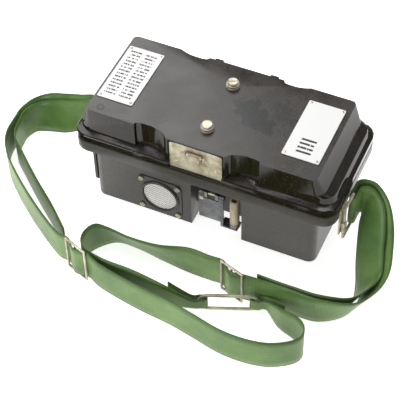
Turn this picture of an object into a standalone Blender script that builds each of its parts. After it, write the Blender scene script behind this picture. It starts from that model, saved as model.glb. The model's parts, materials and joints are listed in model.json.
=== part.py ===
"""Field telephone in a moulded case, with a webbing carrying strap.

Run with:  blender --background --python part.py

The case stands on its underside.  X runs to the right along the case, Y to the back and Z up.
The origin is the centre of the underside.  All sizes below are in millimetres, and `finish`
turns them into metres when an object is made.
"""

import math

import bmesh
import bpy
from mathutils import Matrix, Vector

MM = 0.001
GAP = 0.4                  # clearance between neighbouring pieces

# Case
BASE_HALF_X = 125.8        # base box, half length
BASE_HALF_Y = 49.6         # base box, half depth
BASE_CORNER = 9.0
WALL = 4.0
FLANGE_X = (-140.0, 148.0)     # rim where base and lid meet, left and right ends
FLANGE_HALF_Y = 65.6
FLANGE_CORNER = 16.0
FLANGE_BOTTOM = 84.0
JOINT_Z = 97.0             # parting plane between base and lid
DECK_Z = 70.4              # underside of the deck plate
DECK_THICK = 1.8

# Lid
LID_TOP = 139.6
LID_TOP_HALF_X = 125.0
LID_HALF_Y = 58.6
LID_CORNER = 5.0
LID_ROOF = 3.2
LEDGE_TOP = ((-130.0, 133.5), 119.5)       # end profile, ((left, right), height), going down
LEDGE_EDGE = ((-135.5, 142.5), 116.5)
LID_FOOT = ((-136.5, 144.5), 107.4)
LEDGE_CORNERS = (10.0, 15.0)
SCALLOPS_FRONT = ((-70.0, -38.0), (66.0, 36.0))    # (stepped end, end that runs out)
SCALLOPS_BACK = ((-71.0, -38.0), (75.0, 45.0))
STEPPED = ((0.0, 0.0), (0.03, 3.0), (0.25, 4.2), (0.55, 4.2), (0.82, 2.6), (1.0, 0.0))
COVED = ((0.0, 0.0), (0.2, 2.4), (0.4, 3.8), (0.75, 4.2), (0.92, 3.4), (1.0, 0.0))
LATCH_X = -1.0
BOSS_HALF = 32.0
BOSS_Y = 63.6
LATCH_HALF = 28.6
LATCH_Z = (100.6, 136.8)
LATCH_POCKET = 2.6

# Front recess and folded crank
RECESS_X = (-13.6, 43.7)
RECESS_TOP = 66.0
RECESS_BACK = -19.4
CRANK_X = 7.5
CRANK_HALF = 14.0
CRANK_AXIS = (-42.4, 50.0)     # (y, z) of the fold hinge
CRANK_DROP = 36.5
CRANK_THICK = 2.0
SPINDLE_X = 7.5
SPINDLE_R = 3.5
GRIP_X = 32.0
GRIP_R = 5.3
GRIP_BORE = 3.4
GRIP_LENGTH = 40.0
FOOT_DROP = 7.0            # from the end of the crank's plate to the foot below it

# Ringer and its grille
RINGER_X = -49.6
GRILLE_R = 19.6
GRILLE_BORDER = 5.9        # from the opening to the side of the plate
GRILLE_PLATE = 2 * (GRILLE_R + GRILLE_BORDER)
GRILLE_SCREWS = GRILLE_PLATE / 2 - 4.6
RINGER_Z = GRILLE_PLATE / 2 + 3.5
CLAPPER_Z = RINGER_Z - 4.0

# Generator
GEAR_R = 19.0
PINION_R = 4.6
ARMATURE_X = SPINDLE_X + GEAR_R + PINION_R + GAP
ARMATURE_R = 10.5
SHAFT_Z = CRANK_AXIS[1]
GEN_FRONT = -13.6
GEN_LENGTH = 46.0

# Handset
CUP_X = 79.0
CUP_R = 25.5
CUP_HEIGHT = 30.0
HANDLE_Z = 121.0
HANDLE_R = (13.0, 10.5)

# Batteries
CELL_R = 16.5
CELL_HEIGHT = 58.0
CELL_TRAY = 3.0            # tray wall round the cells
CELL_X = -(BASE_HALF_X - WALL - 3.3 - CELL_TRAY - CELL_R)
CELL_Y = 20.5

# Carrying strap and its metalwork
WEB_WIDTH = 40.0
WEB_THICK = 1.5
WIRE_R = 1.5
LUG_OUT = 4.6              # from the rim's end face to the knuckle's axis
LUG_REACH = (0.8, 22.0)    # from the knuckle to the bar that the webbing turns round
LUG_RING_HEIGHT = 44.0
LUG_RIGHT = (-44.0, 52.0)      # (y of the knuckle, foot of the ring)
LUG_LEFT = (32.0, 36.0)
BAR_TURN = 3.2
RING_SIZE = (65.0, 25.0)
RING_WIRE_R = 1.8
RING_ENDS = ((38.0, -149.5), (97.0, -126.5))
SLIDER_HEIGHT = 47.0
SLIDER_A = ((50.0, -116.0), (76.0, -124.5))
SLIDER_B = ((-107.5, -151.5), (-82.0, -161.0))

# Knobs, hinge and small fittings
STUD_Y = (-35.3, 29.9)
STUD_R = 6.75
STUD_TRAVEL = 1.3
HINGE_X = (-28.0, 34.0)
HINGE_HALF = 7.0
HINGE_AXIS = (FLANGE_HALF_Y + 3.4, JOINT_Z)
HINGE_R = 2.6
PIN_R = 1.3
LABEL_SIZE = (39.4, 79.0)
LABEL_X = (-102.2, 99.8)
LABEL_Y = 2.0
LABEL_THICK = 0.8


# ---------------------------------------------------------------------------------- helpers

def clear_scene():
    for item in list(bpy.data.objects):
        bpy.data.objects.remove(item, do_unlink=True)


def collection(name):
    made = bpy.data.collections.new(name)
    bpy.context.scene.collection.children.link(made)
    return made


def material(name, colour, roughness, metallic=0.0):
    made = bpy.data.materials.new(name)
    made.use_nodes = True
    made.diffuse_color = (*colour, 1.0)
    shader = made.node_tree.nodes["Principled BSDF"]
    shader.inputs["Base Color"].default_value = (*colour, 1.0)
    shader.inputs["Roughness"].default_value = roughness
    shader.inputs["Metallic"].default_value = metallic
    return made


def finish(bm, name, look, pivot=(0.0, 0.0, 0.0)):
    """Turn a bmesh in millimetres into an object in metres, with its origin at `pivot`."""
    bmesh.ops.recalc_face_normals(bm, faces=bm.faces)
    bmesh.ops.translate(bm, verts=bm.verts, vec=-Vector(pivot))
    bmesh.ops.scale(bm, verts=bm.verts, vec=(MM, MM, MM))
    mesh = bpy.data.meshes.new(name)
    bm.to_mesh(mesh)
    bm.free()
    mesh.materials.append(look)
    mesh.shade_smooth()
    mesh.set_sharp_from_angle(angle=math.radians(35))
    made = bpy.data.objects.new(name, mesh)
    made.location = Vector(pivot) * MM
    PARTS.objects.link(made)
    return made


def absorb(bm, piece, place=Matrix.Identity(4)):
    """Add a finished small bmesh to a bigger one."""
    bmesh.ops.transform(piece, matrix=place, verts=piece.verts)
    mesh = bpy.data.meshes.new("piece")
    piece.to_mesh(mesh)
    piece.free()
    bm.from_mesh(mesh)
    bpy.data.meshes.remove(mesh)


def facing(axis, place):
    """Matrix that stands a shape made along +Z along `axis` at `place`."""
    turn = Vector((0, 0, 1)).rotation_difference(Vector(axis)).to_matrix().to_4x4()
    return Matrix.Translation(Vector(place)) @ turn


def block(bm, low, high, bevel=0.0):
    """A box between two corners, with its edges rounded off."""
    piece = bmesh.new()
    bmesh.ops.create_cube(piece, size=1.0)
    low, high = Vector(low), Vector(high)
    bmesh.ops.scale(piece, verts=piece.verts, vec=high - low)
    bmesh.ops.translate(piece, verts=piece.verts, vec=(low + high) / 2)
    if bevel:
        bmesh.ops.bevel(piece, geom=piece.edges[:], offset=bevel, segments=2, affect="EDGES",
                        profile=0.5)
    absorb(bm, piece)


def rod(bm, start, axis, radius, length, sides=24, end_radius=None):
    """A round bar or cone from `start` along `axis`."""
    piece = bmesh.new()
    tip = radius if end_radius is None else end_radius
    bmesh.ops.create_cone(piece, cap_ends=True, segments=sides, radius1=radius, radius2=tip,
                          depth=length)
    bmesh.ops.translate(piece, verts=piece.verts, vec=(0, 0, length / 2))
    absorb(bm, piece, facing(axis, start))


def turned(bm, profile, place, axis=(0, 0, 1), steps=28):
    """A closed (radius, height) profile spun right round `axis` at `place`."""
    piece = bmesh.new()
    verts = [piece.verts.new((radius, 0, height)) for radius, height in profile]
    edges = [piece.edges.new(pair) for pair in zip(verts, verts[1:] + verts[:1])]
    bmesh.ops.spin(piece, geom=verts + edges, axis=(0, 0, 1), cent=(0, 0, 0), steps=steps,
                   angle=2 * math.pi, use_merge=True)
    bmesh.ops.remove_doubles(piece, verts=piece.verts, dist=0.001)
    on_axis = [edge for edge in piece.edges if edge.is_wire or not edge.link_faces]
    bmesh.ops.delete(piece, geom=on_axis, context="EDGES")
    absorb(bm, piece, facing(axis, place))


def prism(bm, outline, height, place=(0, 0, 0), axis=(0, 0, 1), bevel=0.0):
    """A flat outline in XY, drawn up by `height` and stood along `axis` at `place`."""
    piece = bmesh.new()
    face = piece.faces.new([piece.verts.new((x, y, 0)) for x, y in outline])
    drawn = bmesh.ops.extrude_face_region(piece, geom=[face])
    top = [item for item in drawn["geom"] if isinstance(item, bmesh.types.BMVert)]
    bmesh.ops.translate(piece, verts=top, vec=(0, 0, height))
    if bevel:
        rims = [edge for edge in piece.edges if abs(edge.verts[0].co.z - edge.verts[1].co.z) < 1e-6]
        bmesh.ops.bevel(piece, geom=rims, offset=bevel, segments=2, affect="EDGES", profile=0.5)
    bmesh.ops.recalc_face_normals(piece, faces=piece.faces)
    absorb(bm, piece, facing(axis, place))


def loft(bm, rings):
    """A solid through rings of equal point counts, capped at both ends."""
    piece = bmesh.new()
    rows = [[piece.verts.new(point) for point in ring] for ring in rings]
    for lower, upper in zip(rows, rows[1:]):
        for i in range(len(lower)):
            j = (i + 1) % len(lower)
            piece.faces.new((lower[i], lower[j], upper[j], upper[i]))
    piece.faces.new(rows[0])
    piece.faces.new(rows[-1])
    bmesh.ops.recalc_face_normals(piece, faces=piece.faces)
    absorb(bm, piece)


def arc(centre, radius, start, end, count):
    """Points on an arc, with angles in degrees."""
    angles = [math.radians(start + (end - start) * i / count) for i in range(count + 1)]
    return [(centre[0] + radius * math.cos(a), centre[1] + radius * math.sin(a)) for a in angles]


def arc_profile(radius, count=10):
    """A half circle from pole to pole, as a closed profile for a ball."""
    points = arc((0, 0), radius, -90, 90, count)
    return [(0, -radius)] + points[1:-1] + [(0, radius)]


def spanned(ends, half_y, radius, count=4):
    """A rounded rectangle between two X ends, anticlockwise from its right front corner."""
    left, right = ends[0] + radius, ends[1] - radius
    points = []
    for x, sy, turn in ((right, -1, -90), (right, 1, 0), (left, 1, 90), (left, -1, 180)):
        points += arc((x, sy * (half_y - radius)), radius, turn, turn + 90, count)
    return points


def rounded(half_x, half_y, radius, count=4):
    """A rounded rectangle about the origin."""
    return spanned((-half_x, half_x), half_y, radius, count)


def rim(inset_x, inset_y, radius):
    """The outline of the case's rim, moved inwards."""
    left, right = FLANGE_X
    return spanned((left + inset_x, right - inset_x), FLANGE_HALF_Y - inset_y, radius)


def wire(name, points, radius, look, pivot=(0.0, 0.0, 0.0)):
    """A closed loop of round wire through `points`, as a bevelled poly curve."""
    curve = bpy.data.curves.new(name, "CURVE")
    curve.dimensions = "3D"
    spline = curve.splines.new("POLY")
    spline.points.add(len(points) - 1)
    for target, point in zip(spline.points, points):
        target.co = (*((Vector(point) - Vector(pivot)) * MM), 1.0)
    spline.use_cyclic_u = True
    curve.bevel_depth = radius * MM
    curve.bevel_resolution = 2
    curve.materials.append(look)
    made = bpy.data.objects.new(name, curve)
    made.location = Vector(pivot) * MM
    PARTS.objects.link(made)
    return made


def as_mesh(curve_object, name):
    """A mesh object made from an evaluated curve, which it replaces."""
    graph = bpy.context.evaluated_depsgraph_get()
    mesh = bpy.data.meshes.new_from_object(curve_object.evaluated_get(graph))
    mesh.name = name
    made = bpy.data.objects.new(name, mesh)
    made.matrix_world = curve_object.matrix_world
    PARTS.objects.link(made)
    bpy.data.objects.remove(curve_object)
    return made


def combine(target, bm, name, operation):
    """Join the shape in `bm` to `target`, or take it away, with a Boolean."""
    tool = finish(bm, "tool_" + name, target.data.materials[0])
    PARTS.objects.unlink(tool)
    TOOLS.objects.link(tool)
    tool.hide_render = True
    tool.display_type = "WIRE"
    change = target.modifiers.new(name, "BOOLEAN")
    change.operation = operation
    change.object = tool
    return tool


def cut(target, bm, name):
    return combine(target, bm, name, "DIFFERENCE")


def add(target, bm, name):
    return combine(target, bm, name, "UNION")


# ---------------------------------------------------------------------------------- base

def make_base():
    plan = rounded(BASE_HALF_X, BASE_HALF_Y, BASE_CORNER)
    edge = rim(0, 0, FLANGE_CORNER)
    shape = bmesh.new()
    foot = rounded(BASE_HALF_X - 0.8, BASE_HALF_Y - 0.8, BASE_CORNER)
    levels = [(foot, 0.0), (plan, 0.8), (plan, FLANGE_BOTTOM - 3), (edge, FLANGE_BOTTOM),
              (edge, JOINT_Z - 1.4), (rim(0.8, 0.8, FLANGE_CORNER), JOINT_Z - 0.6)]
    loft(shape, [[(x, y, z) for x, y in ring] for ring, z in levels])
    base = finish(shape, "base_shell", LOOKS["moulding_base"])

    hollow = bmesh.new()
    inner = rounded(BASE_HALF_X - WALL, BASE_HALF_Y - WALL, BASE_CORNER - 2)
    wide = rim(11, 10, FLANGE_CORNER - 6)
    levels = [(inner, WALL), (inner, FLANGE_BOTTOM + 3), (wide, FLANGE_BOTTOM + 4.5),
              (wide, JOINT_Z + 5)]
    loft(hollow, [[(x, y, z) for x, y in ring] for ring, z in levels])
    cavity = cut(base, hollow, "hollow")

    housing = bmesh.new()
    block(housing, (RECESS_X[0] - 3, -BASE_HALF_Y - 9, -9),
          (RECESS_X[1] + 3, RECESS_BACK + 3, RECESS_TOP + 3))
    keep = cut(cavity, housing, "housing")
    keep.name = "keep_recess_walls"

    recess = bmesh.new()
    block(recess, (RECESS_X[0], -BASE_HALF_Y - 9, -9), (RECESS_X[1], RECESS_BACK, RECESS_TOP))
    cut(base, recess, "recess")

    holes = bmesh.new()
    rod(holes, (SPINDLE_X, RECESS_BACK - 2, CRANK_AXIS[1]), (0, 1, 0), SPINDLE_R + GAP, 9)
    rod(holes, (RINGER_X, -BASE_HALF_Y - 4, RINGER_Z), (0, 1, 0), GRILLE_R, 12, 32)
    cut(base, holes, "holes")

    pocket = bmesh.new()
    prism(pocket, rounded(GRILLE_PLATE / 2 + GAP, GRILLE_PLATE / 2 + GAP, 8, 4), 9,
          (RINGER_X, -BASE_HALF_Y + 1.4, RINGER_Z), (0, -1, 0))
    cut(base, pocket, "grille_pocket")

    posts = bmesh.new()
    for x, y in deck_corners():
        rod(posts, (x, y, WALL - 1), (0, 0, 1), 2.8, DECK_Z - WALL + 1 - GAP, 14)
    add(base, posts, "deck_posts")

    groove = bmesh.new()
    prism(groove, rim(4, 4, FLANGE_CORNER - 4), 9, (0, 0, JOINT_Z - 2.6))
    island = bmesh.new()
    prism(island, rim(7.5, 7.5, FLANGE_CORNER - 7), 20, (0, 0, JOINT_Z - 9))
    ring = cut(base, groove, "gasket_groove")
    cut(ring, island, "gasket_island")

    seal = bmesh.new()
    outer = rim(4.4, 4.4, FLANGE_CORNER - 4.4)
    inner = rim(7.1, 7.1, FLANGE_CORNER - 7.1)
    low, high = JOINT_Z - 2.2, JOINT_Z + 0.1
    rings = [[(x, y, z) for x, y in plan] for plan, z in
             ((outer, low), (outer, high), (inner, high), (inner, low))]
    hoop(seal, rings)
    finish(seal, "rim_gasket", LOOKS["rubber"])
    return base


def hoop(bm, rings):
    """A closed band through rings of equal point counts, last ring joined to the first."""
    piece = bmesh.new()
    rows = [[piece.verts.new(point) for point in ring] for ring in rings]
    for lower, upper in zip(rows, rows[1:] + rows[:1]):
        for i in range(len(lower)):
            j = (i + 1) % len(lower)
            piece.faces.new((lower[i], lower[j], upper[j], upper[i]))
    absorb(bm, piece)


def slotted_screw(bm, place, axis, head_r, head_h, shank_r, shank):
    """A cheese-head screw, head outwards along `axis`, with its shank behind."""
    turned(bm, [(0, -shank), (shank_r, -shank), (shank_r, 0), (head_r, 0), (head_r, head_h * 0.7),
                (head_r * 0.8, head_h), (0, head_h)], place, axis, 10)


def make_grille():
    plate = bmesh.new()
    front = -BASE_HALF_Y - 0.9
    prism(plate, rounded(GRILLE_PLATE / 2, GRILLE_PLATE / 2, 8, 4), 1.9,
          (RINGER_X, front + 1.9, RINGER_Z), (0, -1, 0))
    bezel = finish(plate, "grille_plate", LOOKS["moulding_base"])
    hole = bmesh.new()
    rod(hole, (RINGER_X, front - 3, RINGER_Z), (0, 1, 0), GRILLE_R + 3.2, 9, 24)
    for sx in (-1, 1):
        for sz in (-1, 1):
            rod(hole, (RINGER_X + sx * GRILLE_SCREWS, front - 3, RINGER_Z + sz * GRILLE_SCREWS),
                (0, 1, 0), 1.5, 9, 8)
    cut(bezel, hole, "grille_opening")

    ring = bmesh.new()
    turned(ring, [(GRILLE_R - 0.2, 0.6), (GRILLE_R + 3.6, 0.6), (GRILLE_R + 2.8, 3.6),
                  (GRILLE_R + 2.0, 4.4), (GRILLE_R + 0.6, 4.4), (GRILLE_R - 0.2, 3.4)],
           (RINGER_X, -BASE_HALF_Y + 1.4, RINGER_Z), (0, -1, 0), 28)
    add(bezel, ring, "grille_ring")

    mesh = bmesh.new()
    rod(mesh, (RINGER_X, -BASE_HALF_Y - 0.4, RINGER_Z), (0, 1, 0), GRILLE_R - 0.6, 0.8, 24)
    finish(mesh, "grille_mesh", LOOKS["mesh"])

    corners = [(sx, sz) for sx in (-1, 1) for sz in (-1, 1)]
    for count, (sx, sz) in enumerate(corners, 1):
        screw = bmesh.new()
        slotted_screw(screw, (RINGER_X + sx * GRILLE_SCREWS, front - 0.3,
                              RINGER_Z + sz * GRILLE_SCREWS), (0, -1, 0), 2.7, 1.6, 1.1, 1.6)
        finish(screw, f"grille_screw_{count}", LOOKS["nickel"])


def deck_corners():
    return [(x, sy * 41.0) for x in (-76.0, 72.0) for sy in (-1, 1)]


def make_battery_side():
    side = -BASE_HALF_X
    cover = bmesh.new()
    prism(cover, rounded(33.0, BASE_HALF_Y - 5.0, 5, 3), 3.6, (side - GAP, 0, 47.0), (-1, 0, 0),
          bevel=0.6)
    finish(cover, "battery_cover", LOOKS["moulding_base"])
    for count, sy in enumerate((-1, 1), 1):
        cell = bmesh.new()
        turned(cell, [(0, 0), (CELL_R, 0), (CELL_R, CELL_HEIGHT - 2), (4.5, CELL_HEIGHT - 2),
                      (4.5, CELL_HEIGHT), (0, CELL_HEIGHT)],
               (CELL_X, sy * CELL_Y, WALL + 4.4), steps=18)
        finish(cell, f"battery_cell_{count}", LOOKS["cell"])

    tray = bmesh.new()
    block(tray, (CELL_X - CELL_R - CELL_TRAY, -CELL_Y - CELL_R - CELL_TRAY, WALL + GAP),
          (CELL_X + CELL_R + CELL_TRAY, CELL_Y + CELL_R + CELL_TRAY, 30), bevel=0.5)
    holder = finish(tray, "battery_tray", LOOKS["fibre"])
    wells = bmesh.new()
    for sy in (-1, 1):
        rod(wells, (CELL_X, sy * CELL_Y, WALL + 3.2), (0, 0, 1), CELL_R + 0.6, 60, 20)
    cut(holder, wells, "cell_wells")
    contact = bmesh.new()
    top = WALL + 4.4 + CELL_HEIGHT + GAP
    block(contact, (CELL_X - 4, -CELL_Y - 6, top), (CELL_X + 4, CELL_Y + 6, top + 1.0), bevel=0.2)
    finish(contact, "battery_contact", LOOKS["brass"])


def make_ringer():
    y0 = -BASE_HALF_Y + WALL + 4
    frame = bmesh.new()
    block(frame, (RINGER_X - 24, y0 + 30, WALL + GAP), (RINGER_X + 24, y0 + 33, 58), bevel=0.4)
    ringer = finish(frame, "ringer_frame", LOOKS["steel"])
    foot = bmesh.new()
    block(foot, (RINGER_X - 23, y0 + 12, WALL + 0.8), (RINGER_X + 23, y0 + 31, WALL + 2.4))
    add(ringer, foot, "frame_foot")
    for count, sx in enumerate((-1, 1), 1):
        gong = bmesh.new()
        turned(gong, [(0, 8), (1.5, 9), (8, 7.5), (10.6, 3), (11, 0), (10, 0), (9.6, 3), (7.2, 6.3),
                       (1.5, 7.6), (0, 6.8)], (RINGER_X + sx * 12.0, y0 + 12, 43.0),
               (0, -1, 0), 16)
        finish(gong, f"ringer_gong_{count}", LOOKS["nickel"])
    posts = bmesh.new()
    for sx in (-1, 1):
        rod(posts, (RINGER_X + sx * 12.0, y0 + 31, 43.0), (0, -1, 0), 2.0, 11.2, 14)
    add(ringer, posts, "gong_posts")
    coils = bmesh.new()
    for sx in (-1, 1):
        turned(coils, [(0, 0), (9.5, 0), (9.5, 2), (8, 2), (8, 20), (9.5, 20), (9.5, 22), (0, 22)],
               (RINGER_X + sx * 11.0, y0 + 29.4, 17.5), (0, -1, 0), 20)
    winding = finish(coils, "ringer_coils", LOOKS["copper"])
    yoke = bmesh.new()
    block(yoke, (RINGER_X - 16, y0 + 26.6, 12), (RINGER_X + 16, y0 + 29.0, 23))
    add(winding, yoke, "coil_yoke")
    clapper = bmesh.new()
    pivot = (RINGER_X, y0 + 4.6, CLAPPER_Z)
    block(clapper, (RINGER_X - 17, y0 + 3.6, 16), (RINGER_X + 17, y0 + 5.4, 19))
    arm = finish(clapper, "ringer_clapper", LOOKS["steel"], pivot)
    stalk = bmesh.new()
    block(stalk, (RINGER_X - 1.6, y0 + 3.8, 18), (RINGER_X + 1.6, y0 + 5.2, 34))
    add(arm, stalk, "clapper_stalk")
    ball = bmesh.new()
    turned(ball, arc_profile(2.6), (RINGER_X, y0 + 4.6, 35.4), steps=14)
    add(arm, ball, "clapper_ball")
    stem = bmesh.new()
    rod(stem, (RINGER_X, y0 + 5.8, CLAPPER_Z), (0, 1, 0), 1.4, 26, 12)
    add(ringer, stem, "clapper_pivot")


def make_deck():
    deck = bmesh.new()
    plan = rounded(BASE_HALF_X - WALL - GAP, BASE_HALF_Y - WALL - GAP, BASE_CORNER - 2.4)
    prism(deck, plan, DECK_THICK, (0, 0, DECK_Z))
    plate = finish(deck, "deck_plate", LOOKS["fibre"])
    rests = bmesh.new()
    for sx in (-1, 1):
        turned(rests, [(CUP_R - 6, 0), (CUP_R + 3.0, 0), (CUP_R + 3.0, 7), (CUP_R + 0.6, 7),
                       (CUP_R + 0.6, 2), (CUP_R - 6, 2)],
               (sx * CUP_X, 0, DECK_Z + DECK_THICK - 0.4), steps=20)
    add(plate, rests, "handset_rests")


def make_generator():
    front, back = GEN_FRONT, GEN_FRONT + GEN_LENGTH
    low, high = WALL + GAP, 68.0
    left, right = -14.0, 50.5
    plates = bmesh.new()
    for y in (front + 7.2, back):
        block(plates, (left, y, low), (right, y + 2.2, high))
    frame = finish(plates, "generator_frame", LOOKS["brass"])
    posts = bmesh.new()
    for x in (left + 2.4, right - 2.4):
        rod(posts, (x, front + 8.2, high - 4), (0, 1, 0), 2.0, back - front - 7, 12)
    add(frame, posts, "frame_posts")
    bores = bmesh.new()
    rod(bores, (SPINDLE_X, front + 4, SHAFT_Z), (0, 1, 0), 2.6, GEN_LENGTH + 4, 16)
    rod(bores, (ARMATURE_X, front + 4, SHAFT_Z), (0, 1, 0), 2.1, GEN_LENGTH + 4, 16)
    cut(frame, bores, "frame_bores")
    magnets = bmesh.new()
    outer = [(-16.5, -34.0), (16.5, -34.0)] + arc((0, 2), 16.5, 0, 180, 12)
    inner_r = ARMATURE_R + 0.8
    prism(magnets, outer, GEN_LENGTH - 12.4, (ARMATURE_X, back - 1.2, SHAFT_Z), (0, -1, 0))
    horseshoe = finish(magnets, "generator_magnets", LOOKS["red_lacquer"])
    tunnel = bmesh.new()
    rod(tunnel, (ARMATURE_X, front, SHAFT_Z), (0, 1, 0), inner_r, GEN_LENGTH + 6, 20)
    cut(horseshoe, tunnel, "armature_tunnel")
    throat = bmesh.new()
    block(throat, (ARMATURE_X - 6, front, SHAFT_Z - 40), (ARMATURE_X + 6, back + 6, SHAFT_Z))
    cut(horseshoe, throat, "magnet_throat")

    spin = (SPINDLE_X, front, SHAFT_Z)
    gear = bmesh.new()
    turned(gear, [(0, 1.4), (3.0, 1.4), (3.0, 0), (6, 0), (6, 1.6), (GEAR_R, 1.6), (GEAR_R, 5.4),
                  (6, 5.4), (6, 6.2), (2.0, 6.2), (2.0, GEN_LENGTH + 4), (0, GEN_LENGTH + 4)],
           (SPINDLE_X, front, SHAFT_Z), (0, 1, 0), 24)
    finish(gear, "drive_gear", LOOKS["brass"], spin)
    rotor = bmesh.new()
    turned(rotor, [(0, 0.8), (1.6, 0.8), (1.6, 1.6), (PINION_R, 1.6), (PINION_R, 5.4), (1.6, 5.4),
                   (1.6, 13), (ARMATURE_R, 13), (ARMATURE_R, GEN_LENGTH - 4), (1.6, GEN_LENGTH - 4),
                   (1.6, GEN_LENGTH + 4), (0, GEN_LENGTH + 4)],
           (ARMATURE_X, front, SHAFT_Z), (0, 1, 0), 18)
    finish(rotor, "generator_armature", LOOKS["steel"], (ARMATURE_X, front, SHAFT_Z))


def make_right_bay():
    coil = bmesh.new()
    turned(coil, [(0, 0), (15, 0), (15, 3), (11.5, 3), (11.5, 49), (15, 49), (15, 52), (0, 52)],
           (60.0, 22.0, WALL + GAP + 16), (1, 0, 0), 16)
    finish(coil, "induction_coil", LOOKS["copper"])
    can = bmesh.new()
    block(can, (58.0, -32.0, WALL + GAP), (84.0, -12.0, 54.0), bevel=1.2)
    finish(can, "capacitor_can", LOOKS["nickel"])
    board = bmesh.new()
    block(board, (92.0, -36.0, WALL + GAP), (96.0, 4.0, 50.0), bevel=0.4)
    terminals = finish(board, "terminal_board", LOOKS["fibre"])
    tags = bmesh.new()
    for i in range(4):
        rod(tags, (95.0, -30.0 + 9.0 * i, 38.0), (1, 0, 0), 2.4, 5.4, 12)
    add(terminals, tags, "board_terminals")


# ---------------------------------------------------------------------------------- crank

def make_crank():
    y, z = CRANK_AXIS
    bridge = bmesh.new()
    block(bridge, (SPINDLE_X - 7.8, y + 4.4, z - 4), (SPINDLE_X + 7.8, y + 6.8, z + 4))
    fork = finish(bridge, "crank_spindle", LOOKS["steel"])
    cheeks = bmesh.new()
    for sx in (-1, 1):
        centre = SPINDLE_X + sx * 6.2
        block(cheeks, (centre - 1.6, y - 3.0, z - 3.8), (centre + 1.6, y + 5.0, z + 3.8))
    add(fork, cheeks, "fork_cheeks")
    shaft = bmesh.new()
    rod(shaft, (SPINDLE_X, y + 5.4, z), (0, 1, 0), SPINDLE_R, RECESS_BACK - y - 1.8, 20)
    add(fork, shaft, "fork_shaft")
    eye = bmesh.new()
    rod(eye, (SPINDLE_X - 12, y, z), (1, 0, 0), PIN_R + GAP, 24, 16)
    cut(fork, eye, "fork_eye")
    pin = bmesh.new()
    rod(pin, (CRANK_X - CRANK_HALF + 0.6, y, z), (1, 0, 0), PIN_R, 2 * CRANK_HALF - 1.2, 16)
    finish(pin, "crank_hinge_pin", LOOKS["nickel"])

    arm = bmesh.new()
    front = y - 3.4
    left, right = CRANK_X - CRANK_HALF, CRANK_X + CRANK_HALF
    barrel = 3.2
    profile = arc((0, 0), barrel, 0, 180, 8) + [(-barrel, -CRANK_DROP), (-barrel + CRANK_THICK,
                                                                         -CRANK_DROP),
                                               (-barrel + CRANK_THICK, -barrel), (barrel, -barrel)]
    prism(arm, [(px, pz) for px, pz in profile], right - left, (0, 0, 0))
    stand = Matrix(((0, 0, 1, left), (1, 0, 0, y), (0, 1, 0, z), (0, 0, 0, 1)))
    bmesh.ops.transform(arm, matrix=stand, verts=arm.verts)
    crank = finish(arm, "crank_arm", LOOKS["crank"], (CRANK_X, y, z))
    slot = bmesh.new()
    block(slot, (SPINDLE_X - 8.4, y - 6, z - 5.4), (SPINDLE_X + 8.4, y + 9, z + 6))
    cut(crank, slot, "crank_slot")
    eye = bmesh.new()
    rod(eye, (left - 5, y, z), (1, 0, 0), PIN_R + GAP, 2 * CRANK_HALF + 12, 16)
    cut(crank, eye, "crank_eye")

    foot = bmesh.new()
    bottom = z - CRANK_DROP - FOOT_DROP
    block(foot, (right - 3.4, front + 0.3, bottom + 1),
          (right - 0.4, front + 1.9, z - CRANK_DROP + 3))
    add(crank, foot, "foot_riser")
    foot = bmesh.new()
    block(foot, (right - 3.4, front + 0.3, bottom), (GRIP_X + 5.2, front + 12.6, bottom + 2.0))
    add(crank, foot, "crank_foot")
    hole = bmesh.new()
    rod(hole, (GRIP_X, y + 2.6, bottom - 3), (0, 0, 1), 2.0 + GAP, 9, 16)
    cut(crank, hole, "foot_hole")
    axle = bmesh.new()
    turned(axle, [(0, 0), (4.4, 0), (4.4, 1.0), (2.0, 1.0), (2.0, 34), (0, 34)],
           (GRIP_X, y + 2.6, bottom - 1.4), steps=16)
    finish(axle, "grip_axle", LOOKS["steel"], (CRANK_X, y, z))
    grip = bmesh.new()
    grip_low = bottom + 2.0 + GAP
    turned(grip, [(GRIP_BORE, 0), (GRIP_R - 0.6, 0), (GRIP_R, 0.8), (GRIP_R, GRIP_LENGTH - 1),
                  (GRIP_R - 0.8, GRIP_LENGTH), (GRIP_BORE, GRIP_LENGTH)],
           (GRIP_X, y + 2.6, grip_low), steps=24)
    finish(grip, "crank_grip", LOOKS["grip"], (GRIP_X, y + 2.6, grip_low))


# ---------------------------------------------------------------------------------- lid

def lid_edge(side, scallops, outline, boss):
    """Points along one long side of the lid, from -X to +X, with `side` -1 front or 1 back."""
    marks = []
    for start, end in scallops:
        marks += [(start + (end - start) * along, LID_HALF_Y - depth) for along, depth in outline]
    if boss:
        marks += [(LATCH_X - BOSS_HALF - 4, LID_HALF_Y), (LATCH_X - BOSS_HALF, BOSS_Y),
                  (LATCH_X + BOSS_HALF, BOSS_Y), (LATCH_X + BOSS_HALF + 4, LID_HALF_Y)]
    return sorted(((x, side * y) for x, y in marks), key=lambda mark: mark[0])


def lid_ring(ends, half_y, radius, z, shaped):
    """One level of the lid: a rounded rectangle with the long sides' scallops and boss."""
    front = lid_edge(-1, SCALLOPS_FRONT, STEPPED, True)
    back = lid_edge(1, SCALLOPS_BACK, COVED, False)[::-1]
    if not shaped:
        front = [(x, -half_y) for x, _ in front]
        back = [(x, half_y) for x, _ in back]
    plan = spanned(ends, half_y, radius)
    half = len(plan) // 2
    return [(x, y, z) for x, y in front + plan[:half] + back + plan[half:]]


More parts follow.
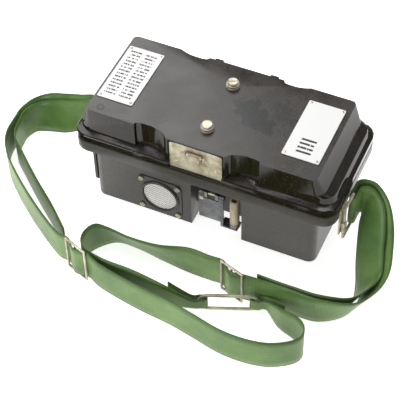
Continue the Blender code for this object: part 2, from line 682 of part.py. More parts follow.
def make_lid():
    top_y = LID_HALF_Y
    left, right = FLANGE_X
    shape = bmesh.new()
    rings = [lid_ring((left + 0.6, right - 0.6), FLANGE_HALF_Y - 0.6, FLANGE_CORNER - 1,
                      JOINT_Z + 0.6, False),
             lid_ring(FLANGE_X, FLANGE_HALF_Y, FLANGE_CORNER, JOINT_Z + 1.4, False),
             lid_ring(FLANGE_X, FLANGE_HALF_Y, FLANGE_CORNER, LID_FOOT[1] - 2.2, False),
             lid_ring((left + 1.2, right - 1.2), FLANGE_HALF_Y - 1.2, FLANGE_CORNER - 1,
                      LID_FOOT[1] - 0.8, False),
             lid_ring(LID_FOOT[0], top_y, LEDGE_CORNERS[1], LID_FOOT[1], True),
             lid_ring(LEDGE_EDGE[0], top_y, LEDGE_CORNERS[1], LEDGE_EDGE[1], True),
             lid_ring(LEDGE_TOP[0], top_y, LEDGE_CORNERS[0], LEDGE_TOP[1], True),
             lid_ring((-LID_TOP_HALF_X - 0.6, LID_TOP_HALF_X + 0.6), top_y, LID_CORNER,
                      LID_TOP - 1.6, True),
             lid_ring((-LID_TOP_HALF_X, LID_TOP_HALF_X), top_y, LID_CORNER, LID_TOP, True)]
    loft(shape, rings)
    lid = finish(shape, "lid_shell", LOOKS["moulding_lid"])

    hollow = bmesh.new()
    ledge_left, ledge_right = LEDGE_TOP[0]
    levels = [(rim(8.5, 9.5, FLANGE_CORNER), JOINT_Z - 5),
              (rim(8.5, 9.5, FLANGE_CORNER), JOINT_Z + 7),
              (spanned((ledge_left + 2, ledge_right - 2), LID_HALF_Y - 8, 8), LEDGE_EDGE[1] - 4),
              (rounded(LID_TOP_HALF_X - 3.4, LID_HALF_Y - 8, 6), LID_TOP - LID_ROOF)]
    loft(hollow, [[(x, y, z) for x, y in ring] for ring, z in levels])
    cut(lid, hollow, "lid_hollow")

    pocket = bmesh.new()
    block(pocket, (LATCH_X - LATCH_HALF - GAP, -BOSS_Y - 5, LATCH_Z[0] - GAP),
          (LATCH_X + LATCH_HALF + GAP, -BOSS_Y + LATCH_POCKET, LATCH_Z[1] + GAP))
    for y in STUD_Y:
        rod(pocket, (0, y, LID_TOP - 9), (0, 0, 1), 3.0, 20, 16)
    cut(lid, pocket, "latch_pocket")
    for x in HINGE_X:
        stop = bmesh.new()
        block(stop, (x - 4.5, LID_HALF_Y - 4, LID_TOP - 9), (x + 4.5, LID_HALF_Y + 3, LID_TOP - 0.6),
              bevel=0.4)
        add(lid, stop, f"back_stop_{x:.0f}")
    return lid


def make_labels():
    for name, x in (("label_left", LABEL_X[0]), ("label_right", LABEL_X[1])):
        plate = bmesh.new()
        prism(plate, rounded(LABEL_SIZE[0] / 2, LABEL_SIZE[1] / 2, 1.2, 2), LABEL_THICK,
              (x, LABEL_Y, LID_TOP + GAP))
        finish(plate, name, LOOKS["label"])


def make_studs():
    for name, y in (("terminal_front", STUD_Y[0]), ("terminal_rear", STUD_Y[1])):
        cap = bmesh.new()
        rise = STUD_TRAVEL + 1.2 + GAP
        turned(cap, [(0, -9), (4.6, -9), (4.6, -7.6), (2.4, -7.6), (2.4, rise), (STUD_R, rise),
                     (STUD_R, rise + 1.0), (STUD_R - 0.7, rise + 1.4), (STUD_R - 0.7, rise + 3.2),
                     (STUD_R - 1.6, rise + 4.0), (0, rise + 4.3)], (0, y, LID_TOP), steps=20)
        finish(cap, name, LOOKS["nickel"], (0, y, LID_TOP))
        bush = bmesh.new()
        turned(bush, [(3.2, 0), (STUD_R + 0.5, 0), (STUD_R + 0.5, 0.8), (STUD_R - 0.2, 1.2),
                      (3.2, 1.2)], (0, y, LID_TOP + 0.3), steps=20)
        finish(bush, name + "_bush", LOOKS["brass"])


def make_latch():
    y = -BOSS_Y + LATCH_POCKET - GAP
    low, high = LATCH_Z
    plate = bmesh.new()
    bow = [(LATCH_HALF * math.cos(a), 2.4 * math.sin(a)) for a in
           [math.pi * i / 10 for i in range(11)]]
    height = high - low - 2.4
    outline = [(-LATCH_HALF, 0.0), (LATCH_HALF, 0.0)] + [(x, height + rise) for x, rise in bow]
    prism(plate, outline, 1.2, (0, 0, 0))
    stand = Matrix(((1, 0, 0, LATCH_X), (0, 0, -1, y), (0, 1, 0, low), (0, 0, 0, 1)))
    bmesh.ops.transform(plate, matrix=stand, verts=plate.verts)
    latch = finish(plate, "latch_plate", LOOKS["zinc"])
    keeper = bmesh.new()
    pin_z = high - 9.0
    for sx in (-1, 1):
        block(keeper, (LATCH_X + sx * 10.6 - 1.2, y - 5.6, pin_z - 2.6),
              (LATCH_X + sx * 10.6 + 1.2, y - 0.6, pin_z + 2.6))
    add(latch, keeper, "latch_ears")
    eyes = bmesh.new()
    rod(eyes, (LATCH_X - 14, y - 3.6, pin_z), (1, 0, 0), 1.0 + GAP, 28, 12)
    cut(latch, eyes, "ear_eyes")
    pin = bmesh.new()
    rod(pin, (LATCH_X - 11.6, y - 3.6, pin_z), (1, 0, 0), 1.0, 23.2, 12)
    finish(pin, "latch_pin", LOOKS["nickel"])
    pivot = (LATCH_X, y - 3.6, pin_z)
    barrel = bmesh.new()
    turned(barrel, [(1.0 + GAP, 0), (2.3, 0), (2.3, 16.4), (1.0 + GAP, 16.4)],
           (LATCH_X - 8.2, y - 3.6, pin_z), (1, 0, 0), 16)
    tongue = finish(barrel, "latch_tongue", LOOKS["zinc"], pivot)
    flap = bmesh.new()
    block(flap, (LATCH_X - 6.0, y - 6.4, pin_z - 9), (LATCH_X + 6.0, y - 5.1, pin_z + 1.6))
    add(tongue, flap, "tongue_flap")


def make_hinge(base, lid):
    y, z = HINGE_AXIS
    third = 2 * HINGE_HALF / 3
    for x in HINGE_X:
        left = x - HINGE_HALF
        for k, owner in enumerate((base, lid, base)):
            start, end = left + k * third + GAP / 2, left + (k + 1) * third - GAP / 2
            barrel = bmesh.new()
            rod(barrel, (start, y, z), (1, 0, 0), HINGE_R, end - start, 16)
            add(owner, barrel, f"hinge_barrel_{x:.0f}_{k}")
            strap = bmesh.new()
            low, high = (z - 7, z - 0.8) if owner is base else (z + 0.8, z + 7)
            block(strap, (start, FLANGE_HALF_Y - 2, low), (end, y - 1.0, high))
            add(owner, strap, f"hinge_strap_{x:.0f}_{k}")
    first, last = HINGE_X[0] - HINGE_HALF - 1.5, HINGE_X[-1] + HINGE_HALF + 1.5
    for owner, name in ((base, "base"), (lid, "lid")):
        bore = bmesh.new()
        rod(bore, (first, y, z), (1, 0, 0), PIN_R + GAP, last - first, 14)
        cut(owner, bore, "hinge_bore_" + name)
    pin = bmesh.new()
    rod(pin, (first, y, z), (1, 0, 0), PIN_R, last - first, 12)
    finish(pin, "hinge_pin", LOOKS["nickel"])


# ---------------------------------------------------------------------------------- handset

def make_handset():
    floor = DECK_Z + DECK_THICK + GAP + 2.0 + GAP
    body = bmesh.new()
    for sx in (-1, 1):
        turned(body, [(0, 6.0), (CUP_R, 6.0), (CUP_R, CUP_HEIGHT - 4), (CUP_R - 5, CUP_HEIGHT + 4),
                      (0, CUP_HEIGHT + 6)], (sx * CUP_X, 0, floor), steps=24)
    body = finish(body, "handset_body", LOOKS["moulding_lid"])

    handle = bmesh.new()
    rings = []
    span = CUP_X + 8.0
    for i in range(9):
        t = -1 + 2 * i / 8
        lift = 6.0 * (1 - t * t)
        wide = HANDLE_R[0] + 2.0 * t * t
        tall = HANDLE_R[1] - 1.5 * t * t
        centre = HANDLE_Z - 1.5 + lift * 0.5
        rings.append([(span * t, wide * math.cos(a), centre + tall * math.sin(a))
                      for a in [2 * math.pi * k / 16 for k in range(16)]])
    loft(handle, rings)
    add(body, handle, "handset_handle")
    wells = bmesh.new()
    for sx in (-1, 1):
        rod(wells, (sx * CUP_X, 0, floor - 3), (0, 0, 1), CUP_R - 3, 9 + CUP_HEIGHT - 12, 20)
    block(wells, (-22, -30, HANDLE_Z - 4.0), (22, -HANDLE_R[0] + 5.4, HANDLE_Z + 4.0))
    cut(body, wells, "handset_hollows")

    pivot = (-18.0, -HANDLE_R[0] + 1.0, HANDLE_Z)
    lever = bmesh.new()
    block(lever, (-20.6, -HANDLE_R[0] - 1.8, HANDLE_Z - 3.4), (21.0, -HANDLE_R[0] + 2.2,
                                                              HANDLE_Z + 3.4), bevel=0.8)
    finish(lever, "talk_lever", LOOKS["moulding_base"], pivot)

    for name, sx, holes in (("ear_cap", -1, 6), ("mouth_cap", 1, 9)):
        cap = bmesh.new()
        turned(cap, [(0, 1.6), (CUP_R - 6.5, 0), (CUP_R - 1, 0), (CUP_R, 1), (CUP_R, 5.6),
                     (CUP_R - 3.4, 5.6), (CUP_R - 3.4, 3.2), (0, 3.2)], (sx * CUP_X, 0, floor),
               steps=20)
        lidded = finish(cap, name, LOOKS["moulding_lid"])
        ports = bmesh.new()
        for k in range(holes):
            a = 2 * math.pi * k / holes
            rod(ports, (sx * CUP_X + 9 * math.cos(a), 9 * math.sin(a), floor - 3), (0, 0, 1), 1.6,
                9, 6)
        cut(lidded, ports, name + "_ports")
    for name, sx in (("ear_capsule", -1), ("mouth_capsule", 1)):
        capsule = bmesh.new()
        turned(capsule, [(0, 0), (CUP_R - 5, 0), (CUP_R - 5, 12), (CUP_R - 9, 15), (0, 15)],
               (sx * CUP_X, 0, floor + 6.4), steps=24)
        finish(capsule, name, LOOKS["nickel"])
    gland = bmesh.new()
    turned(gland, [(3.0, 0), (5.0, 0), (4.2, 9), (3.0, 9)], (CUP_X + CUP_R + GAP, 0, floor + 18),
           (1, 0, 0), 16)
    finish(gland, "cord_gland", LOOKS["rubber"])


# ---------------------------------------------------------------------------------- strap

def smooth_path(stations, spacing=11.0):
    """Points about `spacing` apart on a smooth curve through the stations."""
    ends = [Vector(s) for s in stations]
    points = []
    for i in range(len(ends) - 1):
        before = ends[max(i - 1, 0)]
        start, end = ends[i], ends[i + 1]
        after = ends[min(i + 2, len(ends) - 1)]
        count = max(1, round((end - start).length / spacing))
        for k in range(count):
            t = k / count
            points.append(0.5 * (2 * start + (end - before) * t
                                 + (2 * before - 5 * start + 4 * end - after) * t * t
                                 + (3 * start - before - 3 * end + after) * t ** 3))
    points.append(ends[-1])
    return points


def upright(x, y, low, high):
    """A station of webbing that stands on edge."""
    return (x, y, low, x, y, high)


def webbing(name, stations):
    """A ribbon between two rails, each station (lower x, y, z, upper x, y, z), made thick."""
    bm = bmesh.new()
    path = smooth_path(stations)
    low = [bm.verts.new(point[:3]) for point in path]
    high = [bm.verts.new(point[3:]) for point in path]
    for i in range(len(path) - 1):
        bm.faces.new((low[i], low[i + 1], high[i + 1], high[i]))
    made = finish(bm, name, LOOKS["webbing"])
    skin = made.modifiers.new("thickness", "SOLIDIFY")
    skin.thickness = WEB_THICK * MM
    skin.offset = 0.0
    skin.use_even_offset = True
    return made


def weave(slider, reach=2.9):
    """Three stations that pass behind, before and behind the bars of a slider."""
    left, right = Vector(slider[0]), Vector(slider[1])
    along = (right - left).normalized()
    back = Vector((-along.y, along.x))
    middle = (left + right) / 2
    spots = (left + back * reach, middle - back * reach, right + back * reach)
    low = 2 * WIRE_R + GAP
    return [upright(spot.x, spot.y, low, low + WEB_WIDTH) for spot in spots]


def around(centre, radius, start, end, low, high, count=5):
    """Stations on a turn round an upright bar."""
    return [upright(x, y, low, high) for x, y in arc(centre, radius, start, end, count)]


def knot(end, way, side):
    """Stations that lead a gathered end through the oval ring and back past its wire."""
    low, high = 5.5, RING_SIZE[1] - 5.5
    steps = ((-7, -3.0), (2, -3.2), (6, -3.0), (9.8, 0), (6, 3.0), (2, 3.2), (-7, 3.0))
    return [upright(*(end + way * u + side * v), low, high) for u, v in steps]


def floor_run(points):
    return [upright(x, y, 0.0, WEB_WIDTH) for x, y in points]


def lug_places(side):
    """The knuckle and the bar of one lug ring, seen from above."""
    y = (LUG_LEFT if side < 0 else LUG_RIGHT)[0]
    end = FLANGE_X[0] if side < 0 else FLANGE_X[1]
    knuckle = Vector((end + side * LUG_OUT, y))
    return knuckle, knuckle + Vector((side * LUG_REACH[0], side * LUG_REACH[1]))


def make_strap():
    bar_right = lug_places(1)[1]
    bar_left = lug_places(-1)[1]
    low_right, low_left = LUG_RIGHT[1] + 2.0, LUG_LEFT[1] + 2.0

    inner_right = floor_run([(88, -113.2), (106, -113.8), (128, -113.8)])
    inner_right += [(152, -111.5, 0.6, 154, -113, 40), (172, -97, 0.6, 183, -103, 37.5),
                    (179, -78, 0.6, 196, -83, 35.5), (176, -60, 4, 202, -61, 34.5),
                    (169.5, -44, 18, 196, -41, 48), (164.5, -29, 34, 191, -25, 64),
                    (161, -16, 47, 183, -11, 80), (160.3, -8.5, 53, 170, -4.5, 91.5),
                    (158.3, -6.2, 54, 161.5, -5.5, 94), (157, -10, 54, 157.2, -10, 94)]
    outer_right = [(150.6, -10, 54, 150.6, -10, 94), (151.5, -3, 54, 152, -1, 94),
                   (156, 0.5, 54, 160, 3, 94), (163, -4, 54, 172, 1.5, 93),
                   (167, -13, 50, 187, -7, 83), (171, -27, 38, 198, -21, 67.5),
                   (176, -42, 23, 205, -39, 52), (182, -59, 9, 209, -60, 39),
                   (185, -79, 1, 204, -85, 36), (177, -101, 0.6, 189, -108, 38),
                   (155, -116.5, 0.6, 157.5, -118, 40)]
    outer_right += floor_run([(128, -117.8), (104, -117.8)])
    long_run = floor_run([(34, -110.5), (10, -110)])
    long_run += [(-20, -107, 0.6, -20, -118, 39), (-50, -103, 0.6, -51, -119, 37.2),
                 (-75, -104, 0.6, -78, -117, 38.3)]
    long_run += floor_run([(-92, -120), (-97, -136), (-88, -151), (-62, -157), (-30, -158)])
    end = Vector(RING_ENDS[0])
    way = (Vector(RING_ENDS[1]) - end).normalized()
    side = Vector((-way.y, way.x))
    right = inner_right + around(bar_right, BAR_TURN, 0, -180, low_right, low_right + WEB_WIDTH)
    right += outer_right + weave(SLIDER_A)[::-1] + long_run + [upright(4, -158.5, 2, 34)]
    right += knot(end, way, side) + [upright(6, -150.5, 2, 30)]
    webbing("strap_right", right)

    far = Vector(RING_ENDS[1])
    left = [upright(126, -132.0, 3, 32)] + knot(far, -way, -side) + [upright(122, -139.0, 2, 34)]
    left += floor_run([(143, -146), (154, -154), (156, -166), (147, -177), (128, -187), (104, -191),
                       (78, -190), (50, -184), (20, -178), (-10, -174.5), (-40, -169.5),
                       (-66, -163.5)])
    left += weave(SLIDER_B)[::-1]
    left += floor_run([(-124, -143), (-157, -122), (-194, -94), (-224, -66), (-238, -42),
                       (-241, -14)])
    left += [(-239, -4, 0.6, -241, -2, 40), (-233, 9, 3, -234, 13, 43), (-221, 12, 9, -219, 24, 47),
             (-203, 6.5, 20, -197, 24, 55.5), (-183, 3, 29, -177, 22, 64),
             (-166, 6, 36, -161, 18, 74), (-153, 12.5, 38, -152, 13.5, 78)]
    left += around(bar_left, BAR_TURN, 90, -90, low_left, low_left + WEB_WIDTH)
    left += [(-153, 6.2, 38, -153, 7, 78), (-167, -1, 34, -163, 11, 72),
             (-184, -4.5, 26, -180, 14, 61), (-203, -1.5, 16.5, -199, 16, 52.5),
             (-218, 3, 7, -217, 15, 45), (-229, 3, 2, -230, 6, 42),
             (-234.5, -6, 0.6, -236, -5, 40)]
    left += floor_run([(-235, -16), (-229, -40), (-206, -62), (-176, -88), (-146, -112),
                       (-118, -137)])
    webbing("strap_left", left)


def make_strap_metal():
    for name, (start, end) in (("slider_right", SLIDER_A), ("slider_left", SLIDER_B)):
        left, right = Vector((*start, 0)), Vector((*end, 0))
        low, high = WIRE_R, SLIDER_HEIGHT - WIRE_R
        frame = [(left, low), (right, low), (right, high), (left, high)]
        outline = wire("outline", [(p.x, p.y, z) for p, z in frame], WIRE_R, LOOKS["nickel"])
        slider = as_mesh(outline, name)
        middle = (left + right) / 2
        bar = bmesh.new()
        rod(bar, (middle.x, middle.y, low), (0, 0, 1), WIRE_R * 0.9, high - low, 8)
        add(slider, bar, name + "_bar")
    start, end = Vector((*RING_ENDS[0], 0)), Vector((*RING_ENDS[1], 0))
    way = (end - start).normalized()
    middle = (start + end) / 2 + Vector((0, 0, RING_SIZE[1] / 2))
    half = RING_SIZE[0] / 2 - RING_WIRE_R
    bend = RING_SIZE[1] / 2 - RING_WIRE_R
    loop = arc((half - bend, 0), bend, -90, 90, 8) + arc((bend - half, 0), bend, 90, 270, 8)
    points = [middle + way * u + Vector((0, 0, v)) for u, v in loop]
    wire("oval_ring", points, RING_WIRE_R, LOOKS["nickel"])


def make_lugs():
    for name, side, low in (("right", 1, LUG_RIGHT[1]), ("left", -1, LUG_LEFT[1])):
        knuckle, bar = lug_places(side)
        wall = knuckle.x - side * (LUG_OUT - GAP)
        near, far = sorted((knuckle.y - side * 5, knuckle.y + side * 15))
        lows = (min(wall, wall + side * 1.6), near, FLANGE_BOTTOM - 24)
        highs = (max(wall, wall + side * 1.6), far, JOINT_Z - 2.4)
        plate = bmesh.new()
        block(plate, lows, highs)
        bracket = finish(plate, "lug_bracket_" + name, LOOKS["zinc"])
        tube = bmesh.new()
        rod(tube, (*knuckle, FLANGE_BOTTOM - 22), (0, 0, 1), 3.0, 14, 14)
        add(bracket, tube, "knuckle_" + name)
        bore = bmesh.new()
        rod(bore, (*knuckle, FLANGE_BOTTOM - 26), (0, 0, 1), WIRE_R + GAP, 24, 12)
        cut(bracket, bore, "knuckle_bore_" + name)
        screw = bmesh.new()
        slotted_screw(screw, (wall + side * 2.0, knuckle.y + side * 8, JOINT_Z - 8.0),
                      (side, 0, 0), 2.6, 1.4, 0.1, 0.1)
        finish(screw, "lug_screw_" + name, LOOKS["nickel"])
        high = low + LUG_RING_HEIGHT
        corners = [(knuckle, low), (bar, low), (bar, high), (knuckle, high)]
        wire("lug_ring_" + name, [(p.x, p.y, z) for p, z in corners], WIRE_R, LOOKS["nickel"],
             pivot=(*knuckle, low))


# ---------------------------------------------------------------------------------- build

def make_looks():
    return {
        "moulding_base": material("moulding_base", (0.055, 0.050, 0.045), 0.45),
        "moulding_lid": material("moulding_lid", (0.030, 0.026, 0.020), 0.35),
        "rubber": material("rubber", (0.012, 0.012, 0.012), 0.8),
        "fibre": material("fibre", (0.16, 0.09, 0.045), 0.6),
        "steel": material("steel", (0.35, 0.34, 0.33), 0.4, 1.0),
        "crank": material("crank", (0.12, 0.12, 0.125), 0.45, 0.6),
        "nickel": material("nickel", (0.62, 0.58, 0.50), 0.3, 1.0),
        "zinc": material("zinc", (0.58, 0.52, 0.33), 0.35, 1.0),
        "brass": material("brass", (0.60, 0.45, 0.18), 0.35, 1.0),
        "copper": material("copper", (0.42, 0.17, 0.08), 0.5),
        "red_lacquer": material("red_lacquer", (0.30, 0.04, 0.03), 0.4),
        "cell": material("cell", (0.10, 0.14, 0.22), 0.5),
        "mesh": material("mesh", (0.60, 0.57, 0.54), 0.4, 0.7),
        "label": material("label", (0.86, 0.86, 0.84), 0.5),
        "grip": material("grip", (0.46, 0.40, 0.30), 0.5),
        "webbing": material("webbing", (0.12, 0.24, 0.08), 0.6),
    }


clear_scene()
PARTS = collection("field_telephone")
TOOLS = collection("tools")
LOOKS = make_looks()
case = make_base()
make_grille()
make_battery_side()
make_ringer()
make_deck()
make_generator()
make_right_bay()
make_crank()
cover = make_lid()
make_labels()
make_studs()
make_latch()
make_hinge(case, cover)
make_handset()
make_strap()
make_strap_metal()
make_lugs()
TOOLS.hide_render = True
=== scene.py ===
# %% [markdown]
# A field telephone closed for carrying: a moulded phenolic case with a hinged lid, two press
# studs, two data plates, a ringer grille, a folded hand crank and a long webbing strap.
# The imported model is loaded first.  Every later piece is placed from its boxes, in metres.

# %% Load the frame
import json
import math

import bmesh
import bpy
from mathutils import Matrix, Vector


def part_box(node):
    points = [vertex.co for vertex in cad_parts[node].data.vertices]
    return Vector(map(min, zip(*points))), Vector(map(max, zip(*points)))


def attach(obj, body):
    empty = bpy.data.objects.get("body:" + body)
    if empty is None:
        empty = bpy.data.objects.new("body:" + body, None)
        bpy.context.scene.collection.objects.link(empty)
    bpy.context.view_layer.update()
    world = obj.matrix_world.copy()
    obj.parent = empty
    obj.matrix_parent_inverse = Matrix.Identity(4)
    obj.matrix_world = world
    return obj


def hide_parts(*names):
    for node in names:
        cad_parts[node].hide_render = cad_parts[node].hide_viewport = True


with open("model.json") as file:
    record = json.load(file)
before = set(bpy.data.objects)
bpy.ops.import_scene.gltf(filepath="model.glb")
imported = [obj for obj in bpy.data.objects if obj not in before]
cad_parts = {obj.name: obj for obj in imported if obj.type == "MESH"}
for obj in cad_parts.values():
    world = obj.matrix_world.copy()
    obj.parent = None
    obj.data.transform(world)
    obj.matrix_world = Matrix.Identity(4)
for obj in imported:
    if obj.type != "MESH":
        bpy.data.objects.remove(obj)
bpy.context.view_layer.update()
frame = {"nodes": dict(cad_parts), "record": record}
MM = 0.001

# %% [markdown]
# The camera comes before the pieces, so that each one can be judged as soon as it is made.
# It looks down on the right front corner from about 50 degrees, with a long lens, which
# keeps the case's long edges nearly parallel.

# %% Camera
AZIMUTH, ELEVATION, ROLL = map(math.radians, (22.96, 49.71, 0.24))
CAMERA_PLACE = Vector((0.40191, -0.91271, 1.16457))


def camera_turn(azimuth, elevation, roll):
    """A rotation whose Z looks back from the object, whose X is right and whose Y is up."""
    back = Vector((math.sin(azimuth) * math.cos(elevation),
                   -math.cos(azimuth) * math.cos(elevation), math.sin(elevation)))
    right = Vector((math.cos(azimuth), math.sin(azimuth), 0))
    up = back.cross(right)
    level = Matrix((right, up, back)).transposed()
    return (level @ Matrix.Rotation(roll, 3, "Z")).to_4x4()


camera_data = bpy.data.cameras.new("camera")
camera_data.lens = 126.85
camera_data.sensor_width = 36.0
camera_data.shift_x, camera_data.shift_y = -0.087, 0.005
camera_data.clip_end = 20.0
camera = bpy.data.objects.new("camera", camera_data)
camera.matrix_world = Matrix.Translation(CAMERA_PLACE) @ camera_turn(AZIMUTH, ELEVATION, ROLL)
bpy.context.scene.collection.objects.link(camera)
bpy.context.scene.camera = camera
print("camera at", [round(v, 3) for v in camera.location])

# %% [markdown]
# The floor is a plain pale sheet, large enough to fill every view.  It glows a little, as a
# light table does, so that only a faint shadow shows how the case and the strap sit on it.

# %% Floor
def to_linear(hex_colour):
    """An sRGB hex colour as linear red, green, blue and alpha."""
    steps = [int(hex_colour[i:i + 2], 16) / 255 for i in (1, 3, 5)]
    return tuple(c / 12.92 if c <= 0.04045 else ((c + 0.055) / 1.055) ** 2.4
                 for c in steps) + (1.0,)


floor_sheet = bmesh.new()
bmesh.ops.create_grid(floor_sheet, x_segments=1, y_segments=1, size=6.0)
floor_mesh = bpy.data.meshes.new("floor")
floor_sheet.to_mesh(floor_mesh)
floor_sheet.free()
floor = bpy.data.objects.new("floor", floor_mesh)
floor.location.z = -0.0006
bpy.context.scene.collection.objects.link(floor)
paper = bpy.data.materials.new("matt_paper")
paper.use_nodes = True
paper_shader = paper.node_tree.nodes["Principled BSDF"]
for socket, value in {"Base Color": to_linear("#fbfbfa"), "Roughness": 0.9,
                      "Specular IOR Level": 0.2, "Emission Color": to_linear("#ffffff"),
                      "Emission Strength": 0.8}.items():
    paper_shader.inputs[socket].default_value = value
floor_mesh.materials.append(paper)
print("floor", [round(v, 2) for v in floor.dimensions])

# %% [markdown]
# A product table is lit by large soft boxes.  A wide box overhead and behind gives the broad
# sheen on the lid, a long low one at the left front fills the walls, a narrow one above
# draws thin bright lines along the rounded edges, and a faint one lights the right end.  The
# room itself is dim, so that the glossy walls stay dark.

# %% Lights
def soft_box(name, place, target, size, power):
    """An area light that faces the target."""
    lamp = bpy.data.lights.new(name, "AREA")
    lamp.shape, lamp.size, lamp.size_y, lamp.energy = "RECTANGLE", size[0], size[1], power
    holder = bpy.data.objects.new(name, lamp)
    aim = (Vector(target) - Vector(place)).to_track_quat("-Z", "Y")
    holder.matrix_world = Matrix.Translation(place) @ aim.to_matrix().to_4x4()
    bpy.context.scene.collection.objects.link(holder)
    return holder


soft_box("overhead_box", (-0.9, 0.9, 1.5), (0, 0, 0.1), (1.1, 1.1), 17)
soft_box("front_box", (-0.5, -1.5, 0.75), (0, 0, 0.08), (1.4, 0.3), 13)
soft_box("strip_box", (-0.25, 0.15, 1.7), (0, -0.06, 0.1), (1.6, 0.16), 10)
soft_box("right_box", (1.6, -0.3, 1.1), (0, 0, 0.08), (0.3, 1.2), 1.5)
surround = bpy.data.worlds.new("pale_room")
surround.use_nodes = True
surround.node_tree.nodes["Background"].inputs["Color"].default_value = to_linear("#f4f5f7")
surround.node_tree.nodes["Background"].inputs["Strength"].default_value = 0.26
bpy.context.scene.world = surround
bpy.context.scene.view_settings.view_transform = "Standard"

# %% [markdown]
# Every finish is a small node tree round one Principled shader.  Two helpers are enough:
# one starts a material from its plain numbers, and one adds a node with its settings and
# links.  Patterns read Object coordinates, which here are metres, so a scale of 1000 makes
# one cell about a millimetre wide.

# %% Material helpers
def start(name, colour, roughness, metallic=0.0, **more):
    """A material whose shader holds plain values, with its tree, shader and coordinates."""
    made = bpy.data.materials.new(name)
    made.use_nodes = True
    made.diffuse_color = to_linear(colour)
    tree = made.node_tree
    shader = tree.nodes["Principled BSDF"]
    settings = {"Base Color": to_linear(colour), "Roughness": roughness, "Metallic": metallic}
    settings.update(more)
    for socket, value in settings.items():
        shader.inputs[socket].default_value = value
    where = tree.nodes.new("ShaderNodeTexCoord")
    return made, tree, shader, where


def put(tree, kind, values=(), links=(), **props):
    """A new node with its properties, its socket values and its incoming links."""
    node = tree.nodes.new(kind)
    for name, value in props.items():
        setattr(node, name, value)
    for socket, value in dict(values).items():
        node.inputs[socket].default_value = value
    for socket, source in dict(links).items():
        tree.links.new(source, node.inputs[socket])
    return node


def tint(tree, factor, low, high, shader, socket="Base Color"):
    """A two-colour mix driven by a factor, plugged into the shader."""
    mix = put(tree, "ShaderNodeMix", data_type="RGBA", links={"Factor": factor})
    mix.inputs[6].default_value, mix.inputs[7].default_value = to_linear(low), to_linear(high)
    tree.links.new(mix.outputs[2], shader.inputs[socket])
    return mix


def spread(tree, source, low, high, start_at=0.0, end_at=1.0):
    """A number stretched from one range to another."""
    return put(tree, "ShaderNodeMapRange", links={"Value": source},
               values={"From Min": start_at, "From Max": end_at, "To Min": low, "To Max": high})


def relief(tree, height, depth_mm, shader, strength=1.0):
    """A bump of a real depth from a height pattern."""
    bump = put(tree, "ShaderNodeBump", links={"Height": height},
               values={"Strength": strength, "Distance": depth_mm * MM})
    tree.links.new(bump.outputs["Normal"], shader.inputs["Normal"])
    return bump


LOOKS = {}
print("helpers ready")

# %% [markdown]
# The case is phenolic resin, pressed in polished steel moulds and then used out of doors.
# That gives a near-black brown with a deep gloss on the walls, a duller, finely scuffed
# skin on faces that look up, and pale brown dust in the pits.  Faces that look up are also
# painted paler: partly dust, partly a painted sheen for the glare of the lights on the top.
# Clean phenolic has an IOR near 1.6, and the weathered skin shines a little less, so 1.45 is
# used.  The base is painted a paler grey than the lid, a painted reflection of the pale
# floor in its glossy walls.  The lid also has one dark damp patch between its studs and a
# plate.

# %% Phenolic mouldings
def damp_stain(tree, spot, upward, under, centre, half, turn):
    """A dark patch with a ragged edge: an ellipse whose distance is broken up by noise."""
    local = put(tree, "ShaderNodeMapping", links={"Vector": spot}, vector_type="TEXTURE",
                values={"Location": centre, "Rotation": (0, 0, turn), "Scale": half})
    away = put(tree, "ShaderNodeVectorMath", operation="LENGTH",
               links={0: local.outputs["Vector"]})
    rag = put(tree, "ShaderNodeTexNoise", links={"Vector": spot},
              values={"Scale": 55.0, "Detail": 4.0, "Roughness": 0.6})
    uneven = spread(tree, rag.outputs["Fac"], -0.7, 0.7, 0.25, 0.75)
    total = put(tree, "ShaderNodeMath", operation="ADD",
                links={0: away.outputs["Value"], 1: uneven.outputs["Result"]})
    soaked = spread(tree, total.outputs["Value"], 0.9, 0.0, 0.9, 1.05)
    up_there = put(tree, "ShaderNodeMath", operation="MULTIPLY",
                   links={0: soaked.outputs["Result"], 1: upward.outputs["Result"]})
    patch = put(tree, "ShaderNodeMix", data_type="RGBA",
                links={"Factor": up_there.outputs["Value"], 6: under.outputs[2]})
    patch.inputs[7].default_value = to_linear("#0c0a08")
    return patch


